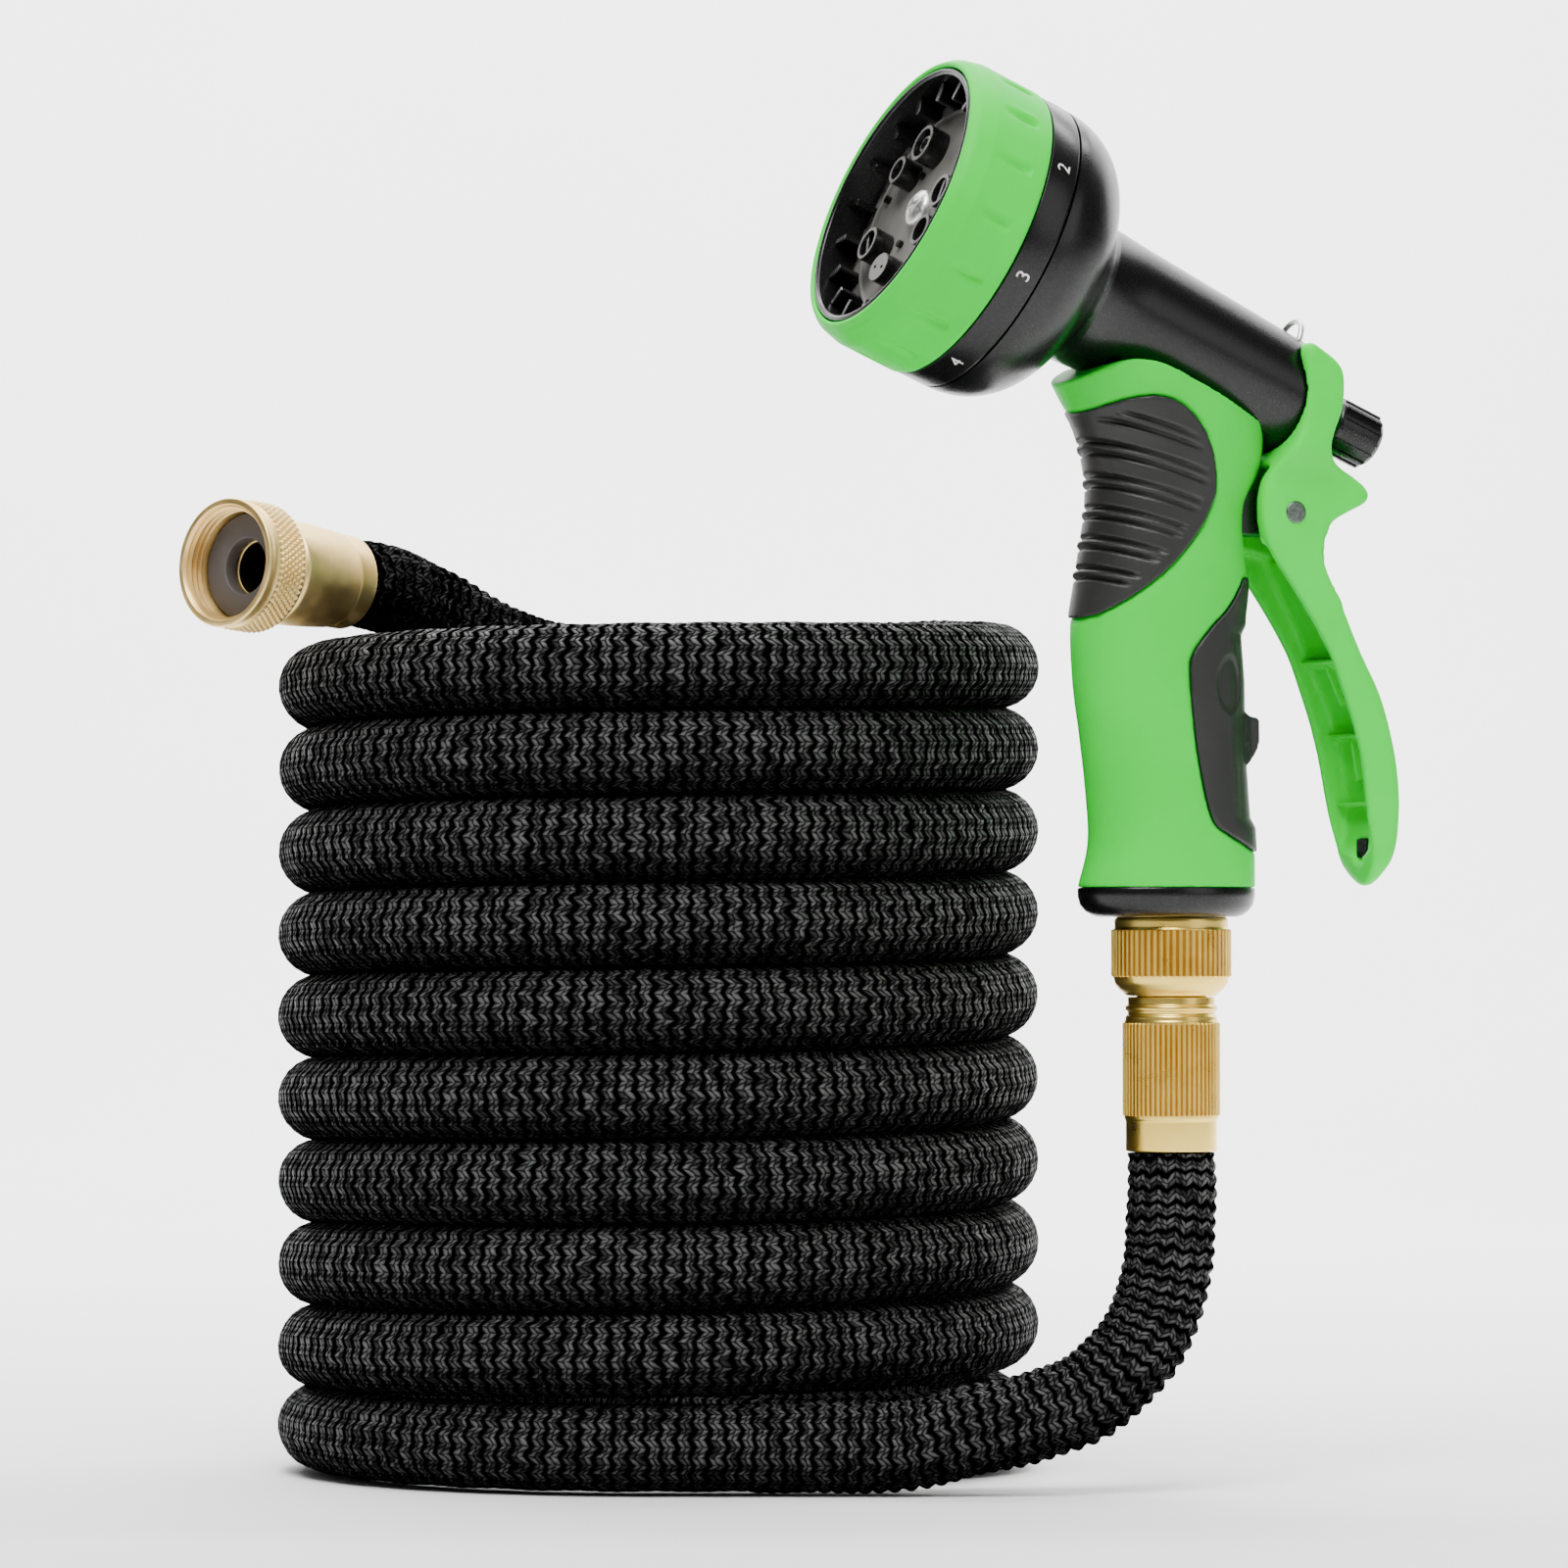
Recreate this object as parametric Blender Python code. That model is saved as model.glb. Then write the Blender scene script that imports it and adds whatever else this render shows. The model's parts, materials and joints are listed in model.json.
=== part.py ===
"""Expandable garden hose, wound into an upright coil, with brass fittings and a spray gun.

Metres, +Z up. The coil stands on the floor, the gun stands on the hose's outlet end at the
coil's front right, and the inlet coupling lies on the top turn at the front left.
"""
import math

import bmesh
import bpy
from mathutils import Matrix, Vector

MM = 0.001
GAP = 0.3 * MM                      # clearance between pieces that touch

# Hose and coil
HOSE_DIAMETER = 22.5 * MM
COIL_RADIUS = 85.8 * MM             # axis of the coil to the middle of the hose
TURN_COUNT = 10
TURN_PITCH = 21.0 * MM
TURN_FLAT_WIDTH = 12.0 * MM         # the lowest turn is pressed flat where it lies on the floor
COIL_SEGMENTS = 28
HOSE_POINT_SPACING = 13 * MM        # between the points that a free stretch follows

# Outlet end, whose axis stands upright at the coil's front right
OUTLET_X = 126.5 * MM
OUTLET_Y = -80.0 * MM
OUTLET_BOTTOM = 83.1 * MM           # height at which the hose enters the ferrule
FERRULE_RADIUS = 11.15 * MM
FERRULE_BAND_LENGTH = 8.2 * MM
SLEEVE_RADIUS = 11.95 * MM
SLEEVE_LENGTH = 23.4 * MM
SLEEVE_FLUTES = 30
NECK_RADIUS = 10.6 * MM
THREAD_GROOVE_DEPTH = 1.0 * MM
NECK_LENGTH = 6.4 * MM
SPIGOT_RADIUS = 8.5 * MM            # male thread inside the nut
SPIGOT_LENGTH = 9.0 * MM
WATER_BORE_RADIUS = 5.0 * MM
NUT_RADIUS = 14.8 * MM
NUT_LENGTH = 19.2 * MM
NUT_BAND_LENGTH = 3.2 * MM
NUT_CHAMFER = 3.4 * MM
NUT_FLUTES = 32
FLUTE_DEPTH = 0.5 * MM
BORE_SEGMENTS = 24
OUTLET_TOP = (OUTLET_BOTTOM + FERRULE_BAND_LENGTH + SLEEVE_LENGTH + NECK_LENGTH + NUT_LENGTH)

# Inlet end: its axis runs from the hose outwards, level but for a slight rise
INLET_BACK = Vector((-73.3, -10.0, 224.2)) * MM
INLET_DIRECTION = Vector((-0.651, -0.754, 0.080)).normalized()
INLET_TAIL_RADIUS = 11.9 * MM
INLET_TAIL_BAND = 4.4 * MM
INLET_BODY_RADIUS = 13.2 * MM
INLET_BODY_LENGTH = 29.0 * MM
COUPLING_RADIUS = 16.6 * MM
COUPLING_LENGTH = 23.0 * MM
COUPLING_KNURL_LENGTH = 8.6 * MM
COUPLING_LIP_RADIUS = 15.7 * MM
COUPLING_SOCKET_RADIUS = 14.0 * MM
COUPLING_SOCKET_DEPTH = 11.0 * MM
COUPLING_NECK_RADIUS = 9.6 * MM
WASHER_HOLE_RADIUS = 7.4 * MM
WASHER_THICKNESS = 3.0 * MM
THREAD_PITCH = 2.2 * MM             # 11.5 threads to the inch

# Spray gun, in its own frame: +X forwards, +Y to its left side, +Z up from its base, which
# stands on the outlet's nut, on the outlet's axis
GUN_TURN = math.radians(204)
BARREL_TILT = math.radians(23.5)
BARREL_HEIGHT = 140.7 * MM          # barrel axis above the gun's base, over the outlet's axis
BARREL_BACK = -34.9 * MM            # along the barrel from that point
BARREL_BACK_RADIUS = 14.5 * MM
BARREL_FRONT = 27.0 * MM
BARREL_FRONT_RADIUS = 17.8 * MM
BARREL_SEGMENTS = 32
DOME_PROFILE = [(0.10, 0.08), (0.19, 0.24), (0.30, 0.52), (0.46, 0.76), (0.66, 0.92), (0.84, 0.99)]
HEAD_SEAM = 52.4 * MM
HEAD_SEAM_RADIUS = 37.2 * MM
DIAL_SEGMENTS = 32
DIAL_BAND_LENGTH = 8.1 * MM
DIAL_GRIP_LENGTH = 21.7 * MM
DIAL_GRIP_RADIUS = 37.6 * MM
DIAL_CUP_RADIUS = 33.9 * MM
DIAL_CUP_WALL = 1.6 * MM
DIAL_RECESS = 9.5 * MM
FIN_COUNT = 16
FIN_LENGTH = 4.6 * MM
FIN_WIDTH = 1.8 * MM
FIN_HEIGHT = 6.0 * MM
OUTLET_HEIGHT = 5.0 * MM            # how far the spray outlets stand up from the dial's face
OUTLET_CIRCLE = 17.0 * MM
OUTLET_SEGMENTS = 14
OUTLET_BOSSES = [(60, 4.1), (95, 4.3), (197, 4.8), (234, 3.7), (304, 4.4), (356, 4.7)]
SCREW_RADIUS = 4.6 * MM
SCREW_HEIGHT = 3.4 * MM
SCREW_SEGMENTS = 16

# Handle sections: height of the middle, its place forwards, tilt, half depth and half width
HANDLE_SECTIONS = [
    (6.9, 1.3, 0.0, 22.6, 17.6), (17.8, 0.0, 0.0, 21.3, 16.6), (30.4, 0.8, 0.0, 21.2, 16.3),
    (44.2, 2.1, 0.0, 21.6, 16.4), (56.4, 3.0, 0.0, 22.4, 16.7), (70.4, 3.8, 0.0, 22.2, 16.8),
    (80.4, 2.6, 0.0, 21.9, 16.7), (89.9, 2.2, 2.0, 20.6, 16.4), (97.4, 1.8, 5.0, 19.7, 16.2),
    (104.4, 1.2, 10.0, 20.0, 16.4), (111.9, 1.2, 17.0, 23.0, 16.8), (119.9, 3.6, 23.5, 28.4, 17.4),
    (126.9, 4.6, 23.5, 30.6, 18.4), (138.4, 5.0, 23.5, 31.0, 19.6), (150.4, 6.0, 23.5, 31.0, 19.9),
]
DRAWN_BARREL_POINT = (0.0, 140.7)   # the barrel's point, forwards and up in mm, in the sections and outlines
DRAWN_NECK_HEIGHT = 84.0            # what is drawn above this keeps its distance to the barrel
HANDLE_SIDES = 24
SLEEVE_THICKNESS = 2.6 * MM         # rubber over the handle's core
CORE_TOP = 143.4                    # drawn height at which the core ends, inside the barrel
COLLAR_PROFILE = [(0.80, 0), (0.93, 0.2), (0.99, 0.55), (1.0, 1.0)]    # shares of its size and its height

# Side outlines on the gun's middle plane, in millimetres forwards and up
SADDLE_EDGE = [(-26, 116.4), (-25, 121.9), (-20.5, 125), (-12, 128.4), (-4, 132.8), (4, 136), (13, 137),
               (20, 136), (27, 132.6), (34, 129.6)]
OVER_SADDLE = SADDLE_EDGE + [(60, 131.4), (60, 189.4), (-60, 189.4), (-60, 116.4)]
FINGER_PAD_OUTLINE = [(40, 121.4), (25, 123), (15.5, 126), (9, 126.8), (2.5, 124.4), (-3.2, 118.2),
                      (-5.8, 110.4), (-5.2, 102.4), (-1.5, 93.9), (5.5, 85.4), (14, 78), (21.5, 72.8),
                      (40, 69.4)]
PALM_PAD_OUTLINE = [(-40, 85.4), (-14.5, 81), (-10, 74), (-4.2, 68.6), (0.2, 62.4), (0.6, 56.4),
                    (-2.0, 39.4), (-5.4, 23.4), (-9.5, 20), (-16, 16.4), (-40, 13.4)]
PLATE_HALF_WIDTH = 40 * MM          # of the plates that cut right across the handle
PAD_STANDS_PROUD = 0.5 * MM
GROOVE_COUNT = 6
GROOVE_PITCH = 7.6                  # drawn, mm
GROOVE_LOWEST = 79.0
GROOVE_DEPTH = 1.1 * MM
GROOVE_WIDTH = 1.5 * MM
GROOVE_SLOPE = math.radians(-17)

# Trigger and what it works
TRIGGER_PIVOT = (-28.0, 98.6)      # forwards and height, mm
TRIGGER_HALF_WIDTH = 12.4 * MM
TRIGGER_WALL = 2.4 * MM
TRIGGER_OUTLINE = [(-32.2, 140.4), (-35.6, 139), (-40.4, 135.8), (-42.2, 131.8), (-42.0, 124.4),
                   (-40.2, 117.4), (-39.4, 114), (-41.5, 111.4), (-46.2, 108.6), (-48.6, 106), (-48.4, 102.2),
                   (-43.0, 100), (-38.4, 96.8), (-36.4, 91.4), (-37.4, 85.4), (-42.0, 76.6), (-47.6, 64.4),
                   (-52.4, 54.4), (-55.6, 43.4), (-57.0, 33.8), (-57.2, 26), (-56.2, 16.2), (-54.6, 9.8),
                   (-52.6, 8.2), (-51.0, 11), (-50.2, 17), (-48.9, 24), (-47.6, 32), (-46.2, 40),
                   (-43.6, 49), (-40.8, 56.5), (-37.6, 64.5), (-32.4, 74), (-27.4, 82), (-23.6, 88),
                   (-22.4, 93), (-22.6, 99.4), (-24.4, 106.4), (-27.6, 110.4), (-30.6, 117.4), (-34.2, 127.4)]
TRIGGER_HOLLOW = [(-20.0, 90.9), (-30.6, 88.4), (-34.2, 81.4), (-39.6, 71.4), (-45.0, 59.4), (-49.6, 49.4),
                  (-52.6, 39.4), (-53.6, 27.4), (-52.2, 17.4), (-49.5, 13), (-30.0, 6.4), (-15.0, 49.4)]
TRIGGER_FORK = [(-10, 109.9), (-29.0, 109.9), (-34.0, 105.4), (-34.6, 95.4), (-32.0, 87.4), (-10, 87.4)]
PIN_RADIUS = 2.8 * MM
PIN_HEAD_REACH = 0.4 * MM           # beyond each side of the trigger
PIN_EDGE = 0.4 * MM                 # bevel round each end
PIN_SEGMENTS = 16
SLOT_SEGMENTS = 20
LUG_HALF_WIDTH = 7.0 * MM
LUG_RADIUS = 5.2 * MM
LUG_ROOT = -12.0 * MM               # forwards place at which the lug starts, inside the core
STEM_RADIUS = 3.2 * MM
STEM_CUT_RADIUS = 5.4 * MM          # the hood's opening round the valve stem
KNOB_RADIUS = 7.2 * MM
KNOB_LENGTH = 13.5 * MM
KNOB_FLUTES = 14
KNOB_START = -47.2 * MM             # along the barrel, just behind the trigger's hood
STEM_SUNK = 8.0 * MM                # length of stem inside the barrel's back
WIRE_RADIUS = 0.65 * MM
WIRE_HALF_WIDTH = 5.5 * MM
WIRE_HEIGHT = 5.4 * MM
WIRE_PLACE = -29.5 * MM             # along the barrel


def clear_scene():
    for thing in list(bpy.data.objects):
        bpy.data.objects.remove(thing, do_unlink=True)


def principled(name, colour, roughness, metallic=0.0):
    material = bpy.data.materials.new(name)
    material.use_nodes = True
    shader = material.node_tree.nodes["Principled BSDF"]
    shader.inputs["Base Color"].default_value = (*colour, 1.0)
    shader.inputs["Roughness"].default_value = roughness
    shader.inputs["Metallic"].default_value = metallic
    return material


def empty(name, place, parent=None):
    thing = bpy.data.objects.new(name, None)
    thing.empty_display_size = 20 * MM
    bpy.context.scene.collection.objects.link(thing)
    thing.parent = parent
    thing.matrix_local = place
    return thing


def piece(name, mesh, material, place=Matrix(), parent=None):
    thing = bpy.data.objects.new(name, mesh)
    bpy.context.scene.collection.objects.link(thing)
    thing.parent = parent
    thing.matrix_local = place
    if material:
        mesh.materials.append(material)
        mesh.shade_smooth()
        mesh.set_sharp_from_angle(angle=math.radians(35))
    return thing


def finish_mesh(name, bm):
    bmesh.ops.recalc_face_normals(bm, faces=bm.faces)
    mesh = bpy.data.meshes.new(name)
    bm.to_mesh(mesh)
    bm.free()
    return mesh


def turned(name, outline, segments, closed=False):
    """Turn an outline of (radius, height) about Z; an open one starts and ends on the axis."""
    bm = bmesh.new()
    verts = [bm.verts.new((radius, 0, height)) for radius, height in outline]
    pairs = list(zip(verts, verts[1:]))
    if closed:
        pairs.append((verts[-1], verts[0]))
    edges = [bm.edges.new(pair) for pair in pairs]
    bmesh.ops.spin(bm, geom=verts + edges, cent=(0, 0, 0), axis=(0, 0, 1),
                   angle=math.tau, steps=segments, use_merge=True)
    bmesh.ops.remove_doubles(bm, verts=bm.verts, dist=0.001 * MM)
    return finish_mesh(name, bm)


def lofted(name, rings):
    """Join rings of equal length into a closed solid with flat ends."""
    bm = bmesh.new()
    loops = [[bm.verts.new(point) for point in ring] for ring in rings]
    count = len(rings[0])
    for lower, upper in zip(loops, loops[1:]):
        for i in range(count):
            j = (i + 1) % count
            bm.faces.new((lower[i], lower[j], upper[j], upper[i]))
    bm.faces.new(loops[0][::-1])
    bm.faces.new(loops[-1])
    return finish_mesh(name, bm)


def side_plate(name, outline, half_width):
    """Extrude an outline of drawn (forwards, height) points in millimetres across the gun."""
    rings = [[(x * MM, side * half_width, lifted(z)) for x, z in outline] for side in (-1, 1)]
    return lofted(name, rings)


def round_bar(name, radius, start, end, sides=16):
    ring = [(radius * math.cos(math.tau * i / sides), radius * math.sin(math.tau * i / sides))
            for i in range(sides)]
    return lofted(name, [[(x, y, height) for x, y in ring] for height in (start, end)])


def fluted(name, stations, flutes, depth, bore):
    """A hollow body of (radius, height, is_fluted) stations, its flutes cut lengthwise."""
    count = flutes * 2

    def ring(radius, height, is_fluted):
        points = []
        for i in range(count):
            angle = math.tau * i / count
            reach = radius - (depth if is_fluted and i % 2 else 0)
            points.append((reach * math.cos(angle), reach * math.sin(angle), height))
        return points

    body = lofted(name, [ring(*station) for station in stations])
    thing = piece(name, body, None)
    start, end = stations[0][1] - MM, stations[-1][1] + MM
    cut(thing, guide(round_bar(name + "_bore", bore, start, end, BORE_SEGMENTS)))
    return thing


def guide(mesh, place=Matrix(), parent=None):
    """A shape that only cuts or joins others."""
    thing = piece(mesh.name, mesh, None, place, parent)
    thing.hide_render = True
    thing.display_type = "WIRE"
    return thing


def boolean(thing, other, operation):
    modifier = thing.modifiers.new(operation.title(), "BOOLEAN")
    modifier.operation = operation
    modifier.solver = "EXACT"
    modifier.object = other


def cut(thing, other):
    boolean(thing, other, "DIFFERENCE")


def join(thing, other):
    boolean(thing, other, "UNION")


def keep_inside(thing, other):
    boolean(thing, other, "INTERSECT")


def settle(thing):
    """Apply an object's modifiers, so that other shapes can be made from it."""
    bpy.context.view_layer.update()
    graph = bpy.context.evaluated_depsgraph_get()
    result = bpy.data.meshes.new_from_object(thing.evaluated_get(graph))
    old = thing.data
    thing.modifiers.clear()
    thing.data = result
    result.name = thing.name
    bpy.data.meshes.remove(old)


def dress(thing, material):
    thing.data.materials.clear()
    thing.data.materials.append(material)
    thing.data.shade_smooth()
    thing.data.set_sharp_from_angle(angle=math.radians(35))


def drop(*things):
    for thing in things:
        bpy.data.objects.remove(thing, do_unlink=True)


# Hose

def coil_outline():
    """The coil's section: ten round turns outside and in, flat underneath."""
    half = HOSE_DIAMETER / 2
    notch = TURN_PITCH / 2
    reach = math.asin(notch / half)
    outer = []
    inner = []
    for turn in range(TURN_COUNT):
        height = half + turn * TURN_PITCH
        lowest = -reach if turn else -math.acos(TURN_FLAT_WIDTH / HOSE_DIAMETER)
        highest = reach if turn < TURN_COUNT - 1 else math.radians(90)
        steps = 3
        for step in range(steps + (turn == TURN_COUNT - 1)):
            angle = lowest + (highest - lowest) * step / steps
            flat = 0 if turn == 0 and step == 0 else height + half * math.sin(angle)
            outer.append((COIL_RADIUS + half * math.cos(angle), flat))
            if angle < math.radians(89):
                inner.append((COIL_RADIUS - half * math.cos(angle), flat))
    return outer + inner[::-1]


def smooth_route(points, spacing):
    """Read evenly spaced points from a smooth curve through the route's own points."""
    dense = []
    ends = [2 * points[0] - points[1]] + points + [2 * points[-1] - points[-2]]
    for a, b, c, d in zip(ends, ends[1:], ends[2:], ends[3:]):
        for step in range(24):
            t = step / 24
            dense.append(0.5 * ((2 * b) + (c - a) * t + (2 * a - 5 * b + 4 * c - d) * t ** 2
                                + (3 * b - a - 3 * c + d) * t ** 3))
    dense.append(points[-1])
    length = sum((q - p).length for p, q in zip(dense, dense[1:]))
    count = max(2, round(length / spacing))
    result = [dense[0]]
    walked = 0.0
    for p, q in zip(dense, dense[1:]):
        step = (q - p).length
        while len(result) < count and walked + step >= length * len(result) / count:
            result.append(p.lerp(q, (length * len(result) / count - walked) / step))
        walked += step
    result.append(dense[-1])
    return result


def hose_tube(name, points, material):
    curve = bpy.data.curves.new(name, "CURVE")
    curve.dimensions = "3D"
    curve.bevel_depth = HOSE_DIAMETER / 2
    curve.bevel_resolution = 3
    curve.use_fill_caps = True
    spline = curve.splines.new("POLY")
    spline.points.add(len(points) - 1)
    for target, point in zip(spline.points, points):
        target.co = (*point, 1.0)
    spline.use_smooth = True
    curve.materials.append(material)
    thing = bpy.data.objects.new(name, curve)
    bpy.context.scene.collection.objects.link(thing)
    return thing


def entering(route, mouth, direction):
    """Smooth a route that ends square to a ferrule's mouth, a clearance away from it."""
    end = mouth - direction * GAP
    straight = end - direction * HOSE_DIAMETER / 4
    return smooth_route(route + [straight], HOSE_POINT_SPACING) + [end]


def outlet_route():
    """From beside the coil's lowest turn, along the floor and up to the outlet ferrule."""
    route = [Vector(point) * MM for point in (
        (60.9, -85.8, 11.8), (77.0, -86.2, 15.4), (93.0, -85.0, 18.9), (105.8, -83.4, 23.9),
        (116.2, -81.8, 33.0), (122.6, -80.6, 44.0), (125.5, -80.1, 56.0))]
    route.append(Vector((OUTLET_X, OUTLET_Y, OUTLET_BOTTOM - 14 * MM)))
    return entering(route, Vector((OUTLET_X, OUTLET_Y, OUTLET_BOTTOM)), Vector((0, 0, 1)))


def inlet_route():
    """From inside the coil's top at the back, across the bore and up to the inlet ferrule."""
    route = [Vector(point) * MM for point in (
        (36.0, 46.0, 208.4), (20.0, 44.6, 209.4), (0.0, 38.6, 210.6), (-20.0, 28.4, 212.4),
        (-38.0, 17.8, 215.4))]
    route.append(INLET_BACK - INLET_DIRECTION * 18 * MM + Vector((0, 0, -1.4)) * MM)
    return entering(route, INLET_BACK, INLET_DIRECTION)


def crossover_route():
    """The lowest turn crosses the bore in an S, on the floor, from the left side to the right."""
    height = HOSE_DIAMETER / 2 + GAP
    route = [Vector((x * MM, y * MM, height)) for x, y in (
        (-61.9, 14.6), (-54.0, 29.0), (-41.0, 36.5), (-25.0, 31.0), (-10.0, 14.0), (0.0, 0.0),
        (10.0, -14.0), (25.0, -31.0), (41.0, -36.5), (54.0, -29.0), (61.9, -14.6))]
    return smooth_route(route, HOSE_POINT_SPACING)


def build_hose(material):
    piece("hose_coil", turned("hose_coil", coil_outline(), COIL_SEGMENTS, closed=True), material)
    hose_tube("hose_outlet_end", outlet_route(), material)
    hose_tube("hose_inlet_end", inlet_route(), material)
    hose_tube("hose_crossover", crossover_route(), material)


# Brass fittings

def build_outlet_fittings(brass):
    sleeve_start = FERRULE_BAND_LENGTH
    neck_start = sleeve_start + SLEEVE_LENGTH
    neck_end = neck_start + NECK_LENGTH
    groove = NECK_RADIUS - THREAD_GROOVE_DEPTH
    step = NECK_LENGTH / 4
    stations = [
        (FERRULE_RADIUS - 0.4 * MM, 0, False), (FERRULE_RADIUS, 0.5 * MM, False),
        (FERRULE_RADIUS, sleeve_start - 0.6 * MM, False), (SLEEVE_RADIUS, sleeve_start, True),
        (SLEEVE_RADIUS, neck_start - 0.8 * MM, True), (NECK_RADIUS, neck_start, False),
        (groove, neck_start + step, False), (NECK_RADIUS, neck_start + 2 * step, False),
        (groove, neck_start + 3 * step, False), (NECK_RADIUS, neck_end - GAP, False),
        (SPIGOT_RADIUS, neck_end - GAP + 0.01 * MM, False),
        (SPIGOT_RADIUS, neck_end + SPIGOT_LENGTH, False)]
    axis = Matrix.Translation((OUTLET_X, OUTLET_Y, OUTLET_BOTTOM))
    ferrule = fluted("outlet_ferrule", stations, SLEEVE_FLUTES, FLUTE_DEPTH, WATER_BORE_RADIUS)
    ferrule.matrix_local = axis
    nut_stations = [
        (NECK_RADIUS + 0.4 * MM, 0, False), (NUT_RADIUS, NUT_CHAMFER, True),
        (NUT_RADIUS, NUT_LENGTH - NUT_BAND_LENGTH, True),
        (NUT_RADIUS - FLUTE_DEPTH, NUT_LENGTH - NUT_BAND_LENGTH + 0.6 * MM, False),
        (NUT_RADIUS - FLUTE_DEPTH, NUT_LENGTH - 0.5 * MM, False),
        (NUT_RADIUS - 2 * FLUTE_DEPTH, NUT_LENGTH, False)]
    nut = fluted("outlet_nut", nut_stations, NUT_FLUTES, FLUTE_DEPTH, SPIGOT_RADIUS + GAP)
    nut.matrix_local = axis @ Matrix.Translation((0, 0, neck_end))
    for thing in (ferrule, nut):
        for modifier in thing.modifiers:
            modifier.object.parent = thing
        settle(thing)
        dress(thing, brass)


def build_inlet_fittings(brass, rubber):
    axis = INLET_DIRECTION.to_track_quat("Z", "Y").to_matrix().to_4x4()
    place = Matrix.Translation(INLET_BACK) @ axis
    tail = INLET_TAIL_RADIUS
    body = INLET_BODY_RADIUS
    ferrule = [
        (WATER_BORE_RADIUS, 0), (tail - 0.5 * MM, 0), (tail, 0.6 * MM), (tail, INLET_TAIL_BAND),
        (tail + 0.5 * MM, INLET_TAIL_BAND + 0.6 * MM), (body, INLET_BODY_LENGTH * 0.55),
        (body, INLET_BODY_LENGTH - 0.8 * MM), (body - 0.8 * MM, INLET_BODY_LENGTH),
        (COUPLING_NECK_RADIUS, INLET_BODY_LENGTH),
        (COUPLING_NECK_RADIUS, INLET_BODY_LENGTH + COUPLING_LENGTH - COUPLING_SOCKET_DEPTH
         - WASHER_THICKNESS - 2 * GAP),
        (WATER_BORE_RADIUS, INLET_BODY_LENGTH + COUPLING_LENGTH - COUPLING_SOCKET_DEPTH
         - WASHER_THICKNESS - 2 * GAP)]
    piece("inlet_ferrule", turned("inlet_ferrule", ferrule, 28, closed=True), brass, place)
    start = INLET_BODY_LENGTH + GAP
    face = INLET_BODY_LENGTH + COUPLING_LENGTH
    floor = face - COUPLING_SOCKET_DEPTH - WASHER_THICKNESS
    outer = COUPLING_RADIUS
    lip = COUPLING_LIP_RADIUS
    knurl = start + 4.0 * MM
    nut = [
        (COUPLING_NECK_RADIUS + GAP, start), (body, start), (outer - 0.6 * MM, knurl - 0.6 * MM),
        (outer, knurl), (outer, knurl + COUPLING_KNURL_LENGTH),
        (lip, knurl + COUPLING_KNURL_LENGTH + 0.8 * MM),
        (lip, face - 1.6 * MM), (lip + 0.5 * MM, face - 1.0 * MM), (lip + 0.5 * MM, face),
        (COUPLING_SOCKET_RADIUS, face)]
    crest = COUPLING_SOCKET_RADIUS - 0.9 * MM
    height = face - 0.6 * THREAD_PITCH
    while height - THREAD_PITCH > face - COUPLING_SOCKET_DEPTH + 0.5 * MM:
        nut.append((COUPLING_SOCKET_RADIUS, height))
        nut.append((crest, height - THREAD_PITCH / 2))
        height -= THREAD_PITCH
    nut.extend([(COUPLING_SOCKET_RADIUS, height), (COUPLING_SOCKET_RADIUS, floor),
                (COUPLING_NECK_RADIUS + GAP, floor)])
    piece("inlet_nut", turned("inlet_nut", nut, 28, closed=True), brass, place)
    seat = floor + GAP
    washer = [(WASHER_HOLE_RADIUS, seat), (crest - GAP, seat), (crest - GAP, seat + WASHER_THICKNESS - GAP),
              (WASHER_HOLE_RADIUS, seat + WASHER_THICKNESS - GAP)]
    piece("inlet_washer", turned("inlet_washer", washer, 28, closed=True), rubber, place)


# Spray gun

def barrel_place():
    """Frame on the barrel's axis: +Z forwards along it."""
    tilt = Matrix.Rotation(math.radians(90) - BARREL_TILT, 4, "Y")
    return Matrix.Translation((0, 0, BARREL_HEIGHT)) @ tilt


def lifted(height):
    """Real height of a drawn one: the neck goes with the barrel, and the handle below it stretches."""
    extra = BARREL_HEIGHT - DRAWN_BARREL_POINT[1] * MM
    return height * MM + extra * min(1.0, height / DRAWN_NECK_HEIGHT)


def handle_rings(inset, lowest=None, highest=None):
    rings = []
    for height, forwards, tilt, depth, width in HANDLE_SECTIONS:
        if highest and height > highest:
            break
        slope = math.radians(tilt)
        ring = []
        for i in range(HANDLE_SIDES):
            angle = math.tau * i / HANDLE_SIDES
            along = (depth * MM - inset) * math.cos(angle)
            across = (width * MM - inset) * math.sin(angle)
            ring.append((forwards * MM + along * math.cos(slope), across,
                         lifted(height) + along * math.sin(slope)))
        rings.append(ring)
    if lowest is not None:
        rings.insert(0, [(x, y, lowest) for x, y, z in rings[0]])
    return rings


def barrel_outline(grow):
    radius = BARREL_BACK_RADIUS + grow
    front = BARREL_FRONT_RADIUS + grow
    seam = HEAD_SEAM_RADIUS + grow
    end = HEAD_SEAM - GAP + grow
    rise = HEAD_SEAM - BARREL_FRONT
    outline = [(0, BARREL_BACK - grow), (radius - 1.5 * MM, BARREL_BACK - grow),
               (radius, BARREL_BACK + 1.5 * MM),
               (front, BARREL_FRONT)]
    outline += [(front + (seam - front) * out, BARREL_FRONT + rise * along) for along, out in DOME_PROFILE]
    return outline + [(seam, end), (0, end)]


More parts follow.
